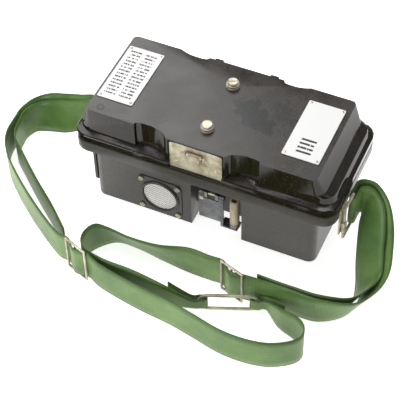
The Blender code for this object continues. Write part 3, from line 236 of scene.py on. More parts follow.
def phenolic(name, dark, pale, dust_and_sheen_colour, gloss, dull, stain=None):
    """Pressed resin: cloudy, glossy walls; faces looking up duller, dusty and with painted sheen.
    """
    made, tree, shader, where = start(name, dark, gloss, IOR=1.45)
    spot = where.outputs["Object"]
    cloud = put(tree, "ShaderNodeTexNoise", links={"Vector": spot},
                values={"Scale": 28.0, "Detail": 6.0, "Roughness": 0.6})
    grain = put(tree, "ShaderNodeTexNoise", links={"Vector": spot},
                values={"Scale": 900.0, "Detail": 3.0, "Roughness": 0.6})
    facing = put(tree, "ShaderNodeNewGeometry")
    parts = put(tree, "ShaderNodeSeparateXYZ", links={"Vector": facing.outputs["Normal"]})
    upward = spread(tree, parts.outputs["Z"], 0.0, 1.0, 0.75, 1.0)
    patchy = spread(tree, cloud.outputs["Fac"], 0.35, 1.0, 0.3, 0.7)
    dust_and_sheen_mask = put(tree, "ShaderNodeMath", operation="MULTIPLY",
               links={0: upward.outputs["Result"], 1: patchy.outputs["Result"]})
    body = put(tree, "ShaderNodeMix", data_type="RGBA", links={"Factor": patchy.outputs["Result"]})
    body.inputs[6].default_value, body.inputs[7].default_value = to_linear(dark), to_linear(pale)
    # Faces that look up get a paler colour: partly dust, partly a painted sheen of the overhead
    # light.
    dust_and_sheen = put(tree, "ShaderNodeMix", data_type="RGBA",
                links={"Factor": dust_and_sheen_mask.outputs["Value"], 6: body.outputs[2]})
    dust_and_sheen.inputs[7].default_value = to_linear(dust_and_sheen_colour)
    pits = put(tree, "ShaderNodeTexNoise", links={"Vector": spot},
               values={"Scale": 420.0, "Detail": 2.0, "Roughness": 0.7})
    pitted = spread(tree, pits.outputs["Fac"], 0.0, 0.8, 0.63, 0.72)
    grimy = put(tree, "ShaderNodeMix", data_type="RGBA",
                links={"Factor": pitted.outputs["Result"], 6: dust_and_sheen.outputs[2]})
    grimy.inputs[7].default_value = to_linear("#544630")
    last = grimy
    if stain:
        last = damp_stain(tree, spot, upward, grimy, *stain)
    tree.links.new(last.outputs[2], shader.inputs["Base Color"])
    rough = spread(tree, dust_and_sheen_mask.outputs["Value"], gloss, dull)
    speck = spread(tree, grain.outputs["Fac"], -0.05, 0.07, 0.3, 0.7)
    total = put(tree, "ShaderNodeMath", operation="ADD",
                links={0: rough.outputs["Result"], 1: speck.outputs["Result"]})
    tree.links.new(total.outputs["Value"], shader.inputs["Roughness"])
    relief(tree, grain.outputs["Fac"], 0.05, shader, 0.35)
    LOOKS[name] = made
    return made


# centre, half sizes in metres and turn of the damp patch on top of the lid
DAMP_PATCH = ((0.036, 0.0, 0.1396), (0.032, 0.013, 0.02), math.radians(-38))
# The third colour is the paler tint of faces that look up: dust and a painted sheen.
phenolic("moulding_lid", "#0d0a06", "#1d160d", "#3b3733", 0.07, 0.36, DAMP_PATCH)
# The base's paler grey than the lid is a painted reflection of the pale floor in its walls.
phenolic("moulding_base", "#393633", "#45413d", "#4c4844", 0.3, 0.4)
print("phenolic looks", list(LOOKS))

# %% [markdown]
# The strap is cotton webbing, dyed green and woven tightly about 1.6 mm from pick to pick,
# with warp ends 1.3 mm apart.  Both are drawn twice as coarse, because the real ones are too
# fine to show.  It has a soft sheen, darker selvedges where the weft turns back, and faded
# patches.  The pattern follows the strip's own UV map, laid out in metres along the webbing.

# %% Green webbing
WEB_WIDTH, WEB_THICK = 40.0 * MM, 1.5 * MM
PICKS_DRAWN, ENDS_DRAWN = 3.2, 2.6
SELVEDGE = (17.4 * MM, 19.0 * MM)      # where the darker edge starts and is full


def bands_apart(pitch_mm):
    """The Wave Texture's scale that puts its bands this far apart."""
    return 2 * math.pi / (pitch_mm * MM) / 20


def webbing_look():
    """Plain-woven green cotton on the strip's own UV map."""
    made, tree, shader, where = start("webbing", "#587a38", 0.42)
    shader.inputs["Sheen Weight"].default_value = 0.4
    shader.inputs["Sheen Roughness"].default_value = 0.4
    shader.inputs["Sheen Tint"].default_value = to_linear("#d5dcb4")
    along = put(tree, "ShaderNodeSeparateXYZ", links={"Vector": where.outputs["UV"]})
    picks = put(tree, "ShaderNodeTexWave", links={"Vector": where.outputs["UV"]},
                values={"Scale": bands_apart(PICKS_DRAWN), "Distortion": 0.4,
                        "Detail": 1.0, "Detail Scale": 2.0}, bands_direction="X")
    ends = put(tree, "ShaderNodeTexWave", links={"Vector": where.outputs["UV"]},
               values={"Scale": bands_apart(ENDS_DRAWN), "Distortion": 0.3,
                       "Detail": 1.0}, bands_direction="Y")
    weave = put(tree, "ShaderNodeMath", operation="MULTIPLY",
                links={0: picks.outputs["Fac"], 1: ends.outputs["Fac"]})
    fade = put(tree, "ShaderNodeTexNoise", links={"Vector": where.outputs["Object"]},
               values={"Scale": 22.0, "Detail": 5.0, "Roughness": 0.6})
    across = put(tree, "ShaderNodeMath", operation="SUBTRACT",
                 links={0: along.outputs["Y"]}, values={1: WEB_WIDTH / 2})
    offset = put(tree, "ShaderNodeMath", operation="ABSOLUTE", links={0: across.outputs["Value"]})
    edge = spread(tree, offset.outputs["Value"], 0.0, 0.55, *SELVEDGE)
    patch = spread(tree, fade.outputs["Fac"], 0.0, 1.0, 0.3, 0.7)
    cloth = put(tree, "ShaderNodeMix", data_type="RGBA", links={"Factor": patch.outputs["Result"]})
    cloth.inputs[6].default_value = to_linear("#40642a")
    cloth.inputs[7].default_value = to_linear("#6c8c45")
    hemmed = put(tree, "ShaderNodeMix", data_type="RGBA",
                 links={"Factor": edge.outputs["Result"], 6: cloth.outputs[2]})
    hemmed.inputs[7].default_value = to_linear("#375523")
    threads = spread(tree, weave.outputs["Value"], 0.0, 0.35)
    shaded = put(tree, "ShaderNodeMix", data_type="RGBA", blend_type="MULTIPLY",
                 links={6: hemmed.outputs[2], "Factor": threads.outputs["Result"]})
    shaded.inputs[7].default_value = to_linear("#c2d0ba")
    tree.links.new(shaded.outputs[2], shader.inputs["Base Color"])
    relief(tree, weave.outputs["Value"], 0.25, shader, 0.6)
    LOOKS["webbing"] = made


webbing_look()
print("webbing", WEB_WIDTH, "m wide")

# %% [markdown]
# The small fittings are plated steel.  Dull nickel is warm and slightly uneven, zinc with a
# yellow passivation is mottled, and bare steel and brass are cloudy as well.
# All of them share one recipe: a cloudy tint, fine scratches in the roughness, and a shallow
# bump.

# %% Metals
def metal(name, dark, pale, roughness, cloud_scale=60.0, metallic=1.0):
    """A plated or bare metal: a cloudy tint and fine scratches."""
    made, tree, shader, where = start(name, pale, roughness, metallic)
    cloud = put(tree, "ShaderNodeTexNoise", links={"Vector": where.outputs["Object"]},
                values={"Scale": cloud_scale, "Detail": 5.0, "Roughness": 0.65})
    patch = spread(tree, cloud.outputs["Fac"], 0.0, 1.0, 0.35, 0.65)
    tint(tree, patch.outputs["Result"], dark, pale, shader)
    fine = put(tree, "ShaderNodeTexNoise", links={"Vector": where.outputs["Object"]},
               values={"Scale": 1400.0, "Detail": 2.0})
    rough = spread(tree, fine.outputs["Fac"], roughness - 0.08, roughness + 0.08, 0.3, 0.7)
    tree.links.new(rough.outputs["Result"], shader.inputs["Roughness"])
    relief(tree, fine.outputs["Fac"], 0.02, shader, 0.4)
    LOOKS[name] = made


metal("nickel", "#a59d8b", "#dcd4c0", 0.4, metallic=0.75)
metal("zinc", "#9c9079", "#ded6bd", 0.44, cloud_scale=90.0, metallic=0.55)
metal("steel", "#77736c", "#a9a69f", 0.4)
metal("brass", "#7c6a40", "#b59f66", 0.38)
metal("crank", "#525254", "#828385", 0.3, metallic=0.6)
print("metals", sorted(LOOKS))

# %% [markdown]
# The rest are painted, moulded or pressed materials: rubber, fibre board, varnished
# windings, red lacquer on the magnets, the printed jacket of the cells, and the tan tube of
# the crank's grip.  Each one is mottled at its own scale so that none is a flat colour.

# %% Painted and moulded finishes
def mottled(name, dark, pale, roughness, scale, depth_mm, stretch=(1, 1, 1)):
    """A two-tone finish whose grain may be stretched along an axis."""
    made, tree, shader, where = start(name, pale, roughness)
    long_grain = put(tree, "ShaderNodeMapping", links={"Vector": where.outputs["Object"]},
                     values={"Scale": stretch})
    cloud = put(tree, "ShaderNodeTexNoise", links={"Vector": long_grain.outputs["Vector"]},
                values={"Scale": scale, "Detail": 6.0, "Roughness": 0.65})
    patch = spread(tree, cloud.outputs["Fac"], 0.0, 1.0, 0.32, 0.68)
    tint(tree, patch.outputs["Result"], dark, pale, shader)
    rough = spread(tree, cloud.outputs["Fac"], roughness + 0.08, roughness - 0.08, 0.3, 0.7)
    tree.links.new(rough.outputs["Result"], shader.inputs["Roughness"])
    relief(tree, cloud.outputs["Fac"], depth_mm, shader, 0.5)
    LOOKS[name] = made


mottled("rubber", "#101010", "#222120", 0.75, 500.0, 0.05)
mottled("fibre", "#4a3220", "#6d4e33", 0.6, 300.0, 0.05, (1, 4, 4))
mottled("copper", "#6d321c", "#a05a34", 0.4, 900.0, 0.2, (1, 6, 1))
mottled("red_lacquer", "#6a1a14", "#8c2a20", 0.35, 80.0, 0.03)
mottled("cell", "#25303f", "#3f4c60", 0.45, 70.0, 0.02)
mottled("grip", "#a5947a", "#d2c3aa", 0.5, 220.0, 0.06, (1, 1, 0.25))
print("finishes", len(LOOKS))

# %% [markdown]
# The ringer speaks through a wire cloth laid on the diagonal.  Its wires are painted pale and
# stand 2.3 mm apart, so two crossed sets of bands on the turned coordinates give the wires,
# and the square gaps between them are painted a dull grey: painted shade of the dark inside
# of the case seen through the openings.

# %% Wire cloth
def wire_cloth(pitch_mm):
    """Two crossed sets of bands at 45 degrees, raised where the wires are."""
    made, tree, shader, where = start("mesh", "#e6e2dc", 0.42, 0.2)
    turn = put(tree, "ShaderNodeMapping", links={"Vector": where.outputs["Object"]},
               values={"Rotation": (0, math.radians(45), 0)})
    bands = bands_apart(pitch_mm)
    first = put(tree, "ShaderNodeTexWave", links={"Vector": turn.outputs["Vector"]},
                values={"Scale": bands}, bands_direction="X")
    second = put(tree, "ShaderNodeTexWave", links={"Vector": turn.outputs["Vector"]},
                 values={"Scale": bands}, bands_direction="Z")
    top = put(tree, "ShaderNodeMath", operation="MAXIMUM",
              links={0: first.outputs["Fac"], 1: second.outputs["Fac"]})
    solid = spread(tree, top.outputs["Value"], 0.0, 1.0, 0.3, 0.6)
    # The low colour is the painted shade in the gaps between the wires.
    tint(tree, solid.outputs["Result"], "#6d6862", "#f1eee9", shader)
    relief(tree, top.outputs["Value"], 0.5, shader, 0.8)
    LOOKS["mesh"] = made


WIRE_PITCH = 2.3
wire_cloth(WIRE_PITCH)
print("wire cloth pitch", WIRE_PITCH, "mm")

# %% [markdown]
# Each data plate is a white enamelled sheet.  Its rows are kept as short dashes of uneven
# length, so they read as print from a distance and say nothing up close.  The rows and
# columns come from the plate's own millimetres.

# %% Plate print
def plate_print(name, node, columns, rows, row_pitch, first_row, dash, density):
    """A white plate with rows of dashes.  Columns are (left, right) in mm from its centre."""
    made, tree, shader, where = start(name, "#f4f4f2", 0.34)
    low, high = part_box(node)
    middle = (Vector(low) + Vector(high)) / 2
    local = put(tree, "ShaderNodeMapping", links={"Vector": where.outputs["Object"]},
                values={"Location": tuple(-c / MM for c in middle), "Scale": (1 / MM,) * 3})
    axis = put(tree, "ShaderNodeSeparateXYZ", links={"Vector": local.outputs["Vector"]})
    last_row = first_row - row_pitch * (rows - 1)
    row_at = put(tree, "ShaderNodeMath", operation="SUBTRACT", links={0: axis.outputs["Y"]},
                 values={1: last_row - row_pitch / 2})
    step = put(tree, "ShaderNodeMath", operation="DIVIDE", links={0: row_at.outputs["Value"]},
               values={1: row_pitch})
    phase = put(tree, "ShaderNodeMath", operation="FRACT", links={0: step.outputs["Value"]})
    off = put(tree, "ShaderNodeMath", operation="SUBTRACT", links={0: phase.outputs["Value"]},
              values={1: 0.5})
    near = put(tree, "ShaderNodeMath", operation="ABSOLUTE", links={0: off.outputs["Value"]})
    ink = put(tree, "ShaderNodeMath", operation="LESS_THAN", links={0: near.outputs["Value"]},
              values={1: 0.23})
    which = put(tree, "ShaderNodeMath", operation="FLOOR", links={0: step.outputs["Value"]})
    cell = put(tree, "ShaderNodeMath", operation="DIVIDE", links={0: axis.outputs["X"]},
               values={1: dash})
    spot = put(tree, "ShaderNodeCombineXYZ",
               links={"X": cell.outputs["Value"], "Y": which.outputs["Value"]})
    broken = put(tree, "ShaderNodeTexNoise", links={"Vector": spot.outputs["Vector"]},
                 values={"Scale": 1.7, "Detail": 1.0})
    words = put(tree, "ShaderNodeMath", operation="GREATER_THAN",
                links={0: broken.outputs["Fac"]}, values={1: density})
    marks = put(tree, "ShaderNodeMath", operation="MULTIPLY",
                links={0: ink.outputs["Value"], 1: words.outputs["Value"]})
    inside = []
    for left, right in columns:
        centre = put(tree, "ShaderNodeMath", operation="SUBTRACT", links={0: axis.outputs["X"]},
                     values={1: (left + right) / 2})
        span = put(tree, "ShaderNodeMath", operation="ABSOLUTE",
                   links={0: centre.outputs["Value"]})
        inside.append(put(tree, "ShaderNodeMath", operation="LESS_THAN",
                          links={0: span.outputs["Value"]}, values={1: (right - left) / 2}))
    both = inside[0]
    for other in inside[1:]:
        both = put(tree, "ShaderNodeMath", operation="MAXIMUM",
                   links={0: both.outputs["Value"], 1: other.outputs["Value"]})
    below = put(tree, "ShaderNodeMath", operation="GREATER_THAN",
                links={0: step.outputs["Value"]}, values={1: 0.0})
    above = put(tree, "ShaderNodeMath", operation="LESS_THAN",
                links={0: step.outputs["Value"]}, values={1: float(rows)})
    block = put(tree, "ShaderNodeMath", operation="MULTIPLY",
                links={0: below.outputs["Value"], 1: above.outputs["Value"]})
    area = put(tree, "ShaderNodeMath", operation="MULTIPLY",
               links={0: block.outputs["Value"], 1: both.outputs["Value"]})
    ink_here = put(tree, "ShaderNodeMath", operation="MULTIPLY",
                   links={0: area.outputs["Value"], 1: marks.outputs["Value"]})
    tint(tree, ink_here.outputs["Value"], "#f4f4f2", "#232325", shader)
    grime = put(tree, "ShaderNodeTexNoise", links={"Vector": where.outputs["Object"]},
                values={"Scale": 140.0, "Detail": 4.0})
    rough = spread(tree, grime.outputs["Fac"], 0.28, 0.44, 0.35, 0.65)
    tree.links.new(rough.outputs["Result"], shader.inputs["Roughness"])
    relief(tree, grime.outputs["Fac"], 0.05, shader, 0.3)
    return made


LEFT_PRINT = plate_print("plate_enamel_left", "label_left", columns=((-15.5, -3), (1, 14.5)),
                         rows=14, row_pitch=4.9, first_row=32.5, dash=1.9, density=0.44)
RIGHT_PRINT = plate_print("plate_enamel_right", "label_right", columns=((-8, 8),),
                          rows=4, row_pitch=5.6, first_row=-13.5, dash=2.4, density=0.36)
print("plates", LEFT_PRINT.name, RIGHT_PRINT.name)

# %% [markdown]
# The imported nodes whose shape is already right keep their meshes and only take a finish.
# The record says which slot each node belongs to, so one loop dresses them all.

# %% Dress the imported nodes
SLOTS = {part["node"]: part["material_slot"] for part in frame["record"]["subparts"]}
for name, node in frame["nodes"].items():
    look = {"label_left": LEFT_PRINT, "label_right": RIGHT_PRINT,
            "terminal_front_bush": LOOKS["nickel"],
            "terminal_rear_bush": LOOKS["nickel"]}.get(name) or LOOKS[SLOTS[name]]
    for place in node.material_slots:
        place.material = look
    if not node.material_slots:
        node.data.materials.append(look)
print("dressed", len(SLOTS), "nodes")

# %% [markdown]
# The two big mouldings need rounded edges, because the bright lines along them are what the
# eye reads as pressed resin.  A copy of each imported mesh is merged, its flat facets are
# joined back into whole faces, and a Bevel then rounds only the real corners.

# %% Rounded mouldings
FLAT_ENOUGH = 0.6          # degrees between facets that are one face
MERGE = 0.01 * MM


def copied(node_name, piece_name):
    """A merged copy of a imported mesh, with flat neighbours joined, as a bmesh."""
    shape = bmesh.new()
    shape.from_mesh(frame["nodes"][node_name].data)
    bmesh.ops.remove_doubles(shape, verts=shape.verts, dist=MERGE)
    bmesh.ops.dissolve_limit(shape, angle_limit=math.radians(FLAT_ENOUGH), verts=shape.verts,
                             edges=shape.edges, use_dissolve_boundaries=False)
    print(piece_name, len(shape.faces), "faces")
    return shape


def settle(shape, name, body, look, nodes=(), smooth=35.0):
    """Turn a bmesh into a finished piece that rides on a body."""
    mesh = bpy.data.meshes.new(name)
    shape.to_mesh(mesh)
    shape.free()
    mesh.materials.clear()
    mesh.materials.append(look)
    mesh.shade_smooth()
    mesh.set_sharp_from_angle(angle=math.radians(smooth))
    piece = bpy.data.objects.new(name, mesh)
    bpy.context.scene.collection.objects.link(piece)
    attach(piece, body)
    if nodes:
        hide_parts(*nodes)
    return piece


def rounded_copy(node_name, piece_name, body, width_mm):
    """A copy of a packed moulding whose edges sharper than 28 degrees are rounded."""
    piece = settle(copied(node_name, piece_name), piece_name, body,
                   LOOKS[SLOTS[node_name]], (node_name,))
    edge = piece.modifiers.new("rounded_edges", "BEVEL")
    edge.width = width_mm * MM
    edge.segments = 3
    edge.limit_method = "ANGLE"
    edge.angle_limit = math.radians(28.0)
    return piece


rounded_copy("lid_shell", "lid_moulding", "lid", 1.3)
rounded_copy("base_shell", "base_moulding", "case", 0.8)
rounded_copy("battery_cover", "battery_door", "case", 0.5)

# %% [markdown]
# Rivets, screw heads and press studs are turned parts, so each starts as half an outline
# that is spun right round.  A slotted head is two half moons standing on a disc: the gap
# between them is the slot, which needs no cutting.

# %% Turned fittings
def stand(shape, piece, place, axis, turn=0.0):
    """Move a small shape made along +Z to its place, along an axis, and join it to the rest."""
    way = Vector((0, 0, 1)).rotation_difference(Vector(axis)).to_matrix().to_4x4()
    put_there = Matrix.Translation(Vector(place) * MM) @ way @ Matrix.Rotation(turn, 4, "Z")
    bmesh.ops.recalc_face_normals(piece, faces=piece.faces)
    bmesh.ops.transform(piece, matrix=put_there, verts=piece.verts)
    holder = bpy.data.meshes.new("piece")
    piece.to_mesh(holder)
    piece.free()
    shape.from_mesh(holder)
    bpy.data.meshes.remove(holder)


def turned(shape, outline, place, axis=(0, 0, 1), steps=32):
    """Spin an open (radius, height) outline, in mm, whose two ends lie on the axis."""
    piece = bmesh.new()
    verts = [piece.verts.new((radius * MM, 0, height * MM)) for radius, height in outline]
    edges = [piece.edges.new(pair) for pair in zip(verts, verts[1:])]
    bmesh.ops.spin(piece, geom=verts + edges, axis=(0, 0, 1), cent=(0, 0, 0), steps=steps,
                   angle=2 * math.pi, use_merge=True)
    bmesh.ops.remove_doubles(piece, verts=piece.verts, dist=1e-6)
    stand(shape, piece, place, axis)


def half_moons(shape, radius, height, slot, place, axis, turn):
    """The two halves of a slotted head."""
    for side in (-1, 1):
        piece = bmesh.new()
        bmesh.ops.create_cone(piece, cap_ends=True, segments=32, radius1=radius * MM,
                              radius2=radius * 0.86 * MM, depth=height * MM)
        bmesh.ops.translate(piece, verts=piece.verts, vec=(0, 0, height / 2 * MM))
        bmesh.ops.bisect_plane(piece, geom=piece.verts[:] + piece.edges[:] + piece.faces[:],
                               plane_co=(side * slot / 2 * MM, 0, 0), plane_no=(side, 0, 0),
                               clear_inner=True)
        bmesh.ops.holes_fill(piece, edges=[e for e in piece.edges if e.is_boundary])
        stand(shape, piece, place, axis, turn)


def slotted_screw(shape, place, axis, radius, height, turn):
    """A round head whose upper half is two half moons."""
    turned(shape, [(0, 0), (radius, 0), (radius, height * 0.5), (0, height * 0.5)], place, axis)
    raised = Vector(place) + Vector(axis) * height * 0.5
    half_moons(shape, radius, height * 0.5, radius * 0.34, raised, axis, turn)


def middle_of(node):
    """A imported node's middle, lowest and highest corner, in mm."""
    low, high = (Vector(corner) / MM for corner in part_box(node))
    return (low + high) / 2, low, high


print("turned parts ready")

# %% [markdown]
# Four plated cheese-head screws hold the grille's plate, and two larger ones hold the battery
# door at the left end.  Each head is turned a different way, as screws tightened by hand are.

# %% Grille screws and battery door screws
heads = bmesh.new()
for count, turn in enumerate((0.4, 1.3, 2.3, 0.9), 1):
    middle, low, high = middle_of(f"grille_screw_{count}")
    slotted_screw(heads, (middle.x, low.y + 1.6, middle.z), (0, -1, 0), 3.1, 1.6, turn)
settle(heads, "grille_screw_heads", "case", LOOKS["nickel"],
       [f"grille_screw_{count}" for count in range(1, 5)], smooth=30.0)

door = bmesh.new()
middle, low, high = middle_of("battery_cover")
for side, turn in ((-1, 0.5), (1, 1.9)):
    spot = (low.x, middle.y + side * 33.0, low.z + (high.z - low.z) * 0.82)
    slotted_screw(door, spot, (-1, 0, 0), 4.2, 2.0, turn)
settle(door, "battery_door_screws", "case", LOOKS["nickel"], smooth=30.0)
print("screw heads at the grille and on the battery door")

# %% [markdown]
# A press stud clamps the bare end of a line wire under its rim.  It has a stem, a
# flange and a slotted cap, so it is one spun outline with two half moons on top.

# %% Press studs
for name, turn in (("terminal_front", 0.5), ("terminal_rear", 2.0)):
    middle, low, high = middle_of(name)
    stud = bmesh.new()
    top = high.z - low.z
    turned(stud, [(0, 0), (4.6, 0), (4.6, 1.4), (2.4, 1.4), (2.4, top - 4.3), (6.35, top - 4.3),
                  (6.75, top - 4.0), (6.75, top - 3.3), (6.35, top - 3.0), (5.7, top - 2.9),
                  (5.7, top - 1.0), (0, top - 1.0)], (middle.x, middle.y, low.z), steps=48)
    half_moons(stud, 5.7, 0.9, 1.2, (middle.x, middle.y, high.z - 1.05), (0, 0, 1), turn)
    settle(stud, name + "_stud", name, LOOKS["nickel"], (name,), smooth=30.0)
    print(name, "stud", round(top, 1), "mm tall")

# %% [markdown]
# The plates are held by four drive rivets each, set close to the corners.  The latch plate
# has two larger ones.  Two shallow rings by the front corners of the lid are the marks that
# the ejector pins of the mould left.

# %% Rivets and mould marks
for name in ("label_left", "label_right"):
    middle, low, high = middle_of(name)
    rivets = bmesh.new()
    for sx in (-1, 1):
        for sy in (-1, 1):
            spot = (middle.x + sx * 17.0, middle.y + sy * 36.6, high.z - 0.05)
            turned(rivets, [(0, 0), (1.5, 0), (1.35, 0.45), (0.8, 0.75), (0, 0.85)], spot,
                   steps=16)
    settle(rivets, name + "_rivets", "lid", LOOKS["nickel"])
rivets = bmesh.new()
for x, z in ((-22.4, 110.2), (21.2, 112.1)):
    turned(rivets, [(0, 0), (2.4, 0), (2.2, 0.7), (1.3, 1.2), (0, 1.35)], (x, -62.5, z),
           (0, -1, 0), 24)
settle(rivets, "latch_rivets", "lid", LOOKS["zinc"])
marks = bmesh.new()
for x, y in ((-111.3, -50.3), (110.6, -48.8)):
    turned(marks, [(2.9, -0.2), (2.9, 0.12), (3.1, 0.22), (3.7, 0.22), (3.9, 0.12), (3.9, -0.2),
                   (2.9, -0.2)], (x, y, 139.6), steps=32)
settle(marks, "mould_marks", "lid", LOOKS["moulding_lid"])
print("rivets and mould marks set")

# %% [markdown]
# The crank's plate carries a small pressed clip near its top left corner, and the grip stands
# in a flanged cup with a nut under it.  The clip is a cube pressed flat, with its face inset
# and pushed in for the hole.  The cup is turned.

# %% Crank clip and grip cup
_, arm_low, arm_high = middle_of("crank_arm")
_, grip_low, grip_high = middle_of("crank_grip")
clip = bmesh.new()
bmesh.ops.create_cube(clip, size=1.0)
bmesh.ops.scale(clip, vec=(5.4 * MM, 1.2 * MM, 5.2 * MM), verts=clip.verts)
bmesh.ops.bevel(clip, geom=clip.edges[:], offset=0.35 * MM, segments=2, affect="EDGES",
                profile=0.5, material=-1)
face = min(clip.faces, key=lambda f: f.calc_center_median().y)
bmesh.ops.inset_region(clip, faces=[face], thickness=1.2 * MM)
bmesh.ops.translate(clip, verts=face.verts, vec=(0, 0.9 * MM, 0))
bmesh.ops.translate(clip, verts=clip.verts,
                    vec=((arm_low.x + 3.2) * MM, (arm_low.y - 0.5) * MM, (arm_high.z - 8.6) * MM))
bmesh.ops.recalc_face_normals(clip, faces=clip.faces)
settle(clip, "crank_clip", "crank", LOOKS["nickel"], smooth=30.0)
cup = bmesh.new()
axle_x, axle_y = (grip_low.x + grip_high.x) / 2, (grip_low.y + grip_high.y) / 2
turned(cup, [(5.45, 0.0), (6.3, 0.0), (6.3, 1.0), (5.9, 1.3), (5.9, 4.2), (5.45, 4.6), (5.45, 0.0)],
       (axle_x, axle_y, grip_low.z - 0.2), steps=32)
settle(cup, "grip_cup", "crank", LOOKS["steel"], smooth=30.0)
print("clip and cup on the crank")

# %% [markdown]
# The strap is one strip of webbing in two lengths.  Each runs on edge through its lug ring,
# back on itself, and along the table to a slider or to the oval ring.  The route is a list
# of stations, each giving the lower and the upper edge of the strip in millimetres.  They
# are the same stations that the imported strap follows.

# %% Strap route
RING_ENDS = ((38.0, -149.5), (97.0, -126.5))
SLIDER_RIGHT = ((50.0, -116.0), (76.0, -124.5))
SLIDER_LEFT = ((-107.5, -151.5), (-82.0, -161.0))
BAR_RIGHT, BAR_LEFT = (153.4, -22.0), (-145.4, 10.0)


def upright(x, y, low=0.0, high=40.0):
    """A station whose two edges stand one above the other."""
    return (x, y, low, x, y, high)


def flat_run(points):
    return [upright(x, y) for x, y in points]


def through_slider(slider, reach=2.9, low=3.4):
    """Behind one bar, before the middle one and behind the other."""
    left, right = Vector(slider[0]), Vector(slider[1])
    along = (right - left).normalized()
    back = Vector((-along.y, along.x))
    spots = (left + back * reach, (left + right) / 2 - back * reach, right + back * reach)
    return [upright(spot.x, spot.y, low, low + 40.0) for spot in spots]


def round_bar(centre, start_at, end_at, low, radius=3.2, count=5):
    """Stations round an upright bar, from one angle to another in degrees."""
    turns = [math.radians(start_at + (end_at - start_at) * i / count) for i in range(count + 1)]
    return [upright(centre[0] + radius * math.cos(a), centre[1] + radius * math.sin(a), low,
                    low + 40.0) for a in turns]


def ring_knot(end, way, side):
    """In past the wire of the oval ring, round it and out again, gathered to 14 mm."""
    steps = ((-7, -3.0), (2, -3.2), (6, -3.0), (9.8, 0), (6, 3.0), (2, 3.2), (-7, 3.0))
    return [upright(*(end + way * u + side * v), 5.5, 19.5) for u, v in steps]


near_end, far_end = Vector(RING_ENDS[0]), Vector(RING_ENDS[1])
RING_WAY = (far_end - near_end).normalized()
RING_SIDE = Vector((-RING_WAY.y, RING_WAY.x))
RIGHT_ROUTE = flat_run([(88, -113.2), (106, -113.8), (128, -113.8)]) + [
    (152, -111.5, 0.6, 154, -113, 40), (172, -97, 0.6, 183, -103, 37.5),
    (179, -78, 0.6, 196, -83, 35.5), (176, -60, 4, 202, -61, 34.5),
    (169.5, -44, 18, 196, -41, 48), (164.5, -29, 34, 191, -25, 64),
    (161, -16, 47, 183, -11, 80), (160.3, -8.5, 53, 170, -4.5, 91.5),
    (158.3, -6.2, 54, 161.5, -5.5, 94), (157, -10, 54, 157.2, -10, 94)]
RIGHT_ROUTE += round_bar(BAR_RIGHT, 0, -180, 54.0)
RIGHT_ROUTE += [(150.6, -10, 54, 150.6, -10, 94), (151.5, -3, 54, 152, -1, 94),
                (156, 0.5, 54, 160, 3, 94), (163, -4, 54, 172, 1.5, 93),
                (167, -13, 50, 187, -7, 83), (171, -27, 38, 198, -21, 67.5),
                (176, -42, 23, 205, -39, 52), (182, -59, 9, 209, -60, 39),
                (185, -79, 1, 204, -85, 36), (177, -101, 0.6, 189, -108, 38),
                (155, -116.5, 0.6, 157.5, -118, 40)]
RIGHT_ROUTE += flat_run([(128, -117.8), (104, -117.8)]) + through_slider(SLIDER_RIGHT)[::-1]
RIGHT_ROUTE += flat_run([(34, -110.5), (10, -110)])
RIGHT_ROUTE += [(-20, -107, 0.6, -20, -118, 39), (-50, -103, 0.6, -51, -119, 37.2),
                (-75, -104, 0.6, -78, -117, 38.3)]
RIGHT_ROUTE += flat_run([(-92, -120), (-97, -136), (-88, -151), (-62, -157), (-30, -158)])
RIGHT_ROUTE += [upright(4, -158.5, 2, 34)] + ring_knot(near_end, RING_WAY, RING_SIDE)
RIGHT_ROUTE += [upright(6, -150.5, 2, 30)]

LEFT_ROUTE = [upright(126, -132.0, 3, 32)] + ring_knot(far_end, -RING_WAY, -RING_SIDE)
LEFT_ROUTE += [upright(122, -139.0, 2, 34)]
LEFT_ROUTE += flat_run([(143, -146), (154, -154), (156, -166), (147, -177), (128, -187),
                        (104, -191), (78, -190), (50, -184), (20, -178), (-10, -174.5),
                        (-40, -169.5), (-66, -163.5)])
LEFT_ROUTE += through_slider(SLIDER_LEFT)[::-1]
LEFT_ROUTE += flat_run([(-124, -143), (-157, -122), (-194, -94), (-224, -66), (-238, -42),
                        (-241, -14)])
LEFT_ROUTE += [(-239, -4, 0.6, -241, -2, 40), (-233, 9, 3, -234, 13, 43),
               (-221, 12, 9, -219, 24, 47), (-203, 6.5, 20, -197, 24, 55.5),
               (-183, 3, 29, -177, 22, 64), (-166, 6, 36, -161, 18, 74),
               (-153, 12.5, 38, -152, 13.5, 78)]
LEFT_ROUTE += round_bar(BAR_LEFT, 90, -90, 38.0)
LEFT_ROUTE += [(-153, 6.2, 38, -153, 7, 78), (-167, -1, 34, -163, 11, 72),
               (-184, -4.5, 26, -180, 14, 61), (-203, -1.5, 16.5, -199, 16, 52.5),
               (-218, 3, 7, -217, 15, 45), (-229, 3, 2, -230, 6, 42),
               (-234.5, -6, 0.6, -236, -5, 40)]
LEFT_ROUTE += flat_run([(-235, -16), (-229, -40), (-206, -62), (-176, -88), (-146, -112),
                        (-118, -137)])
print("stations", len(RIGHT_ROUTE), len(LEFT_ROUTE))

# %% [markdown]
# The strip is drawn by pushing one edge from station to station, with five lanes across.
# Its UV map is laid as it goes, in metres, because the weave must follow the strip and not
# the room.  Solidify then gives the cloth its 1.5 mm.

# %% Strap webbing
LANES = 5


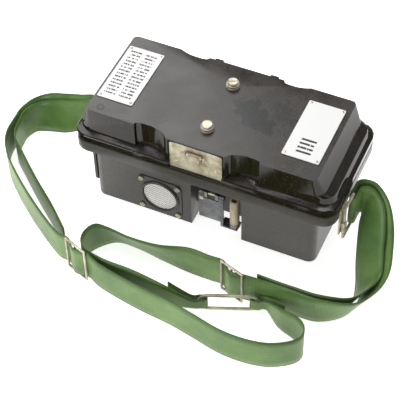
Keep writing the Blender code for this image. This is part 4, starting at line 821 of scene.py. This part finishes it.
def smooth_stations(route, spacing=4.0):
    """Stations about `spacing` apart on a smooth curve through the route."""
    ends = [Vector(station) for station in route]
    points = []
    for i in range(len(ends) - 1):
        before, first = ends[max(i - 1, 0)], ends[i]
        last, after = ends[i + 1], ends[min(i + 2, len(ends) - 1)]
        count = max(1, round((last - first).length / spacing))
        for k in range(count):
            t = k / count
            points.append(0.5 * (2 * first + (last - before) * t
                                 + (2 * before - 5 * first + 4 * last - after) * t * t
                                 + (3 * first - before - 3 * last + after) * t ** 3))
    return points + [ends[-1]]


def middle_of_station(station, before):
    """The step of the strip's middle line from one station to the next."""
    step = station - before
    return (Vector(step[:3]) + Vector(step[3:])) / 2


def strip(name, route, node):
    stations = smooth_stations(route)
    shape = bmesh.new()
    layer = shape.loops.layers.uv.new("along_the_strip")

    def lane_places(station):
        low, high = Vector(station[:3]) * MM, Vector(station[3:]) * MM
        return [low.lerp(high, i / LANES) for i in range(LANES + 1)]

    row = [shape.verts.new(place) for place in lane_places(stations[0])]
    rail = [shape.edges.new(pair) for pair in zip(row, row[1:])]
    length, rows = 0.0, [(row, 0.0)]
    for before, station in zip(stations, stations[1:]):
        drawn = bmesh.ops.extrude_edge_only(shape, edges=rail)
        made = [item for item in drawn["geom"] if isinstance(item, bmesh.types.BMVert)]
        by_height = {vert: min(range(LANES + 1), key=lambda i: (vert.co - row[i].co).length)
                     for vert in made}
        fresh = sorted(made, key=by_height.get)
        for vert, place in zip(fresh, lane_places(station)):
            vert.co = place
        length += middle_of_station(station, before).length * MM
        rail = [edge for edge in shape.edges if edge.verts[0] in fresh and edge.verts[1] in fresh]
        row = fresh
        rows.append((row, length))
    where = {vert: (along, lane) for row, along in rows for lane, vert in enumerate(row)}
    for face in shape.faces:
        for corner in face.loops:
            along, lane = where[corner.vert]
            corner[layer].uv = (along, WEB_WIDTH * lane / LANES)
    area = sum(face.calc_area() for face in shape.faces)
    bmesh.ops.recalc_face_normals(shape, faces=shape.faces)
    piece = settle(shape, name, "case", LOOKS["webbing"], (node,), smooth=60.0)
    skin = piece.modifiers.new("cloth_thickness", "SOLIDIFY")
    skin.thickness, skin.offset = WEB_THICK, 0.0
    print(name, round(length, 3), "m long,", round(area, 5), "m2")
    return piece


strip("webbing_right", RIGHT_ROUTE, "strap_right")
strip("webbing_left", LEFT_ROUTE, "strap_left")
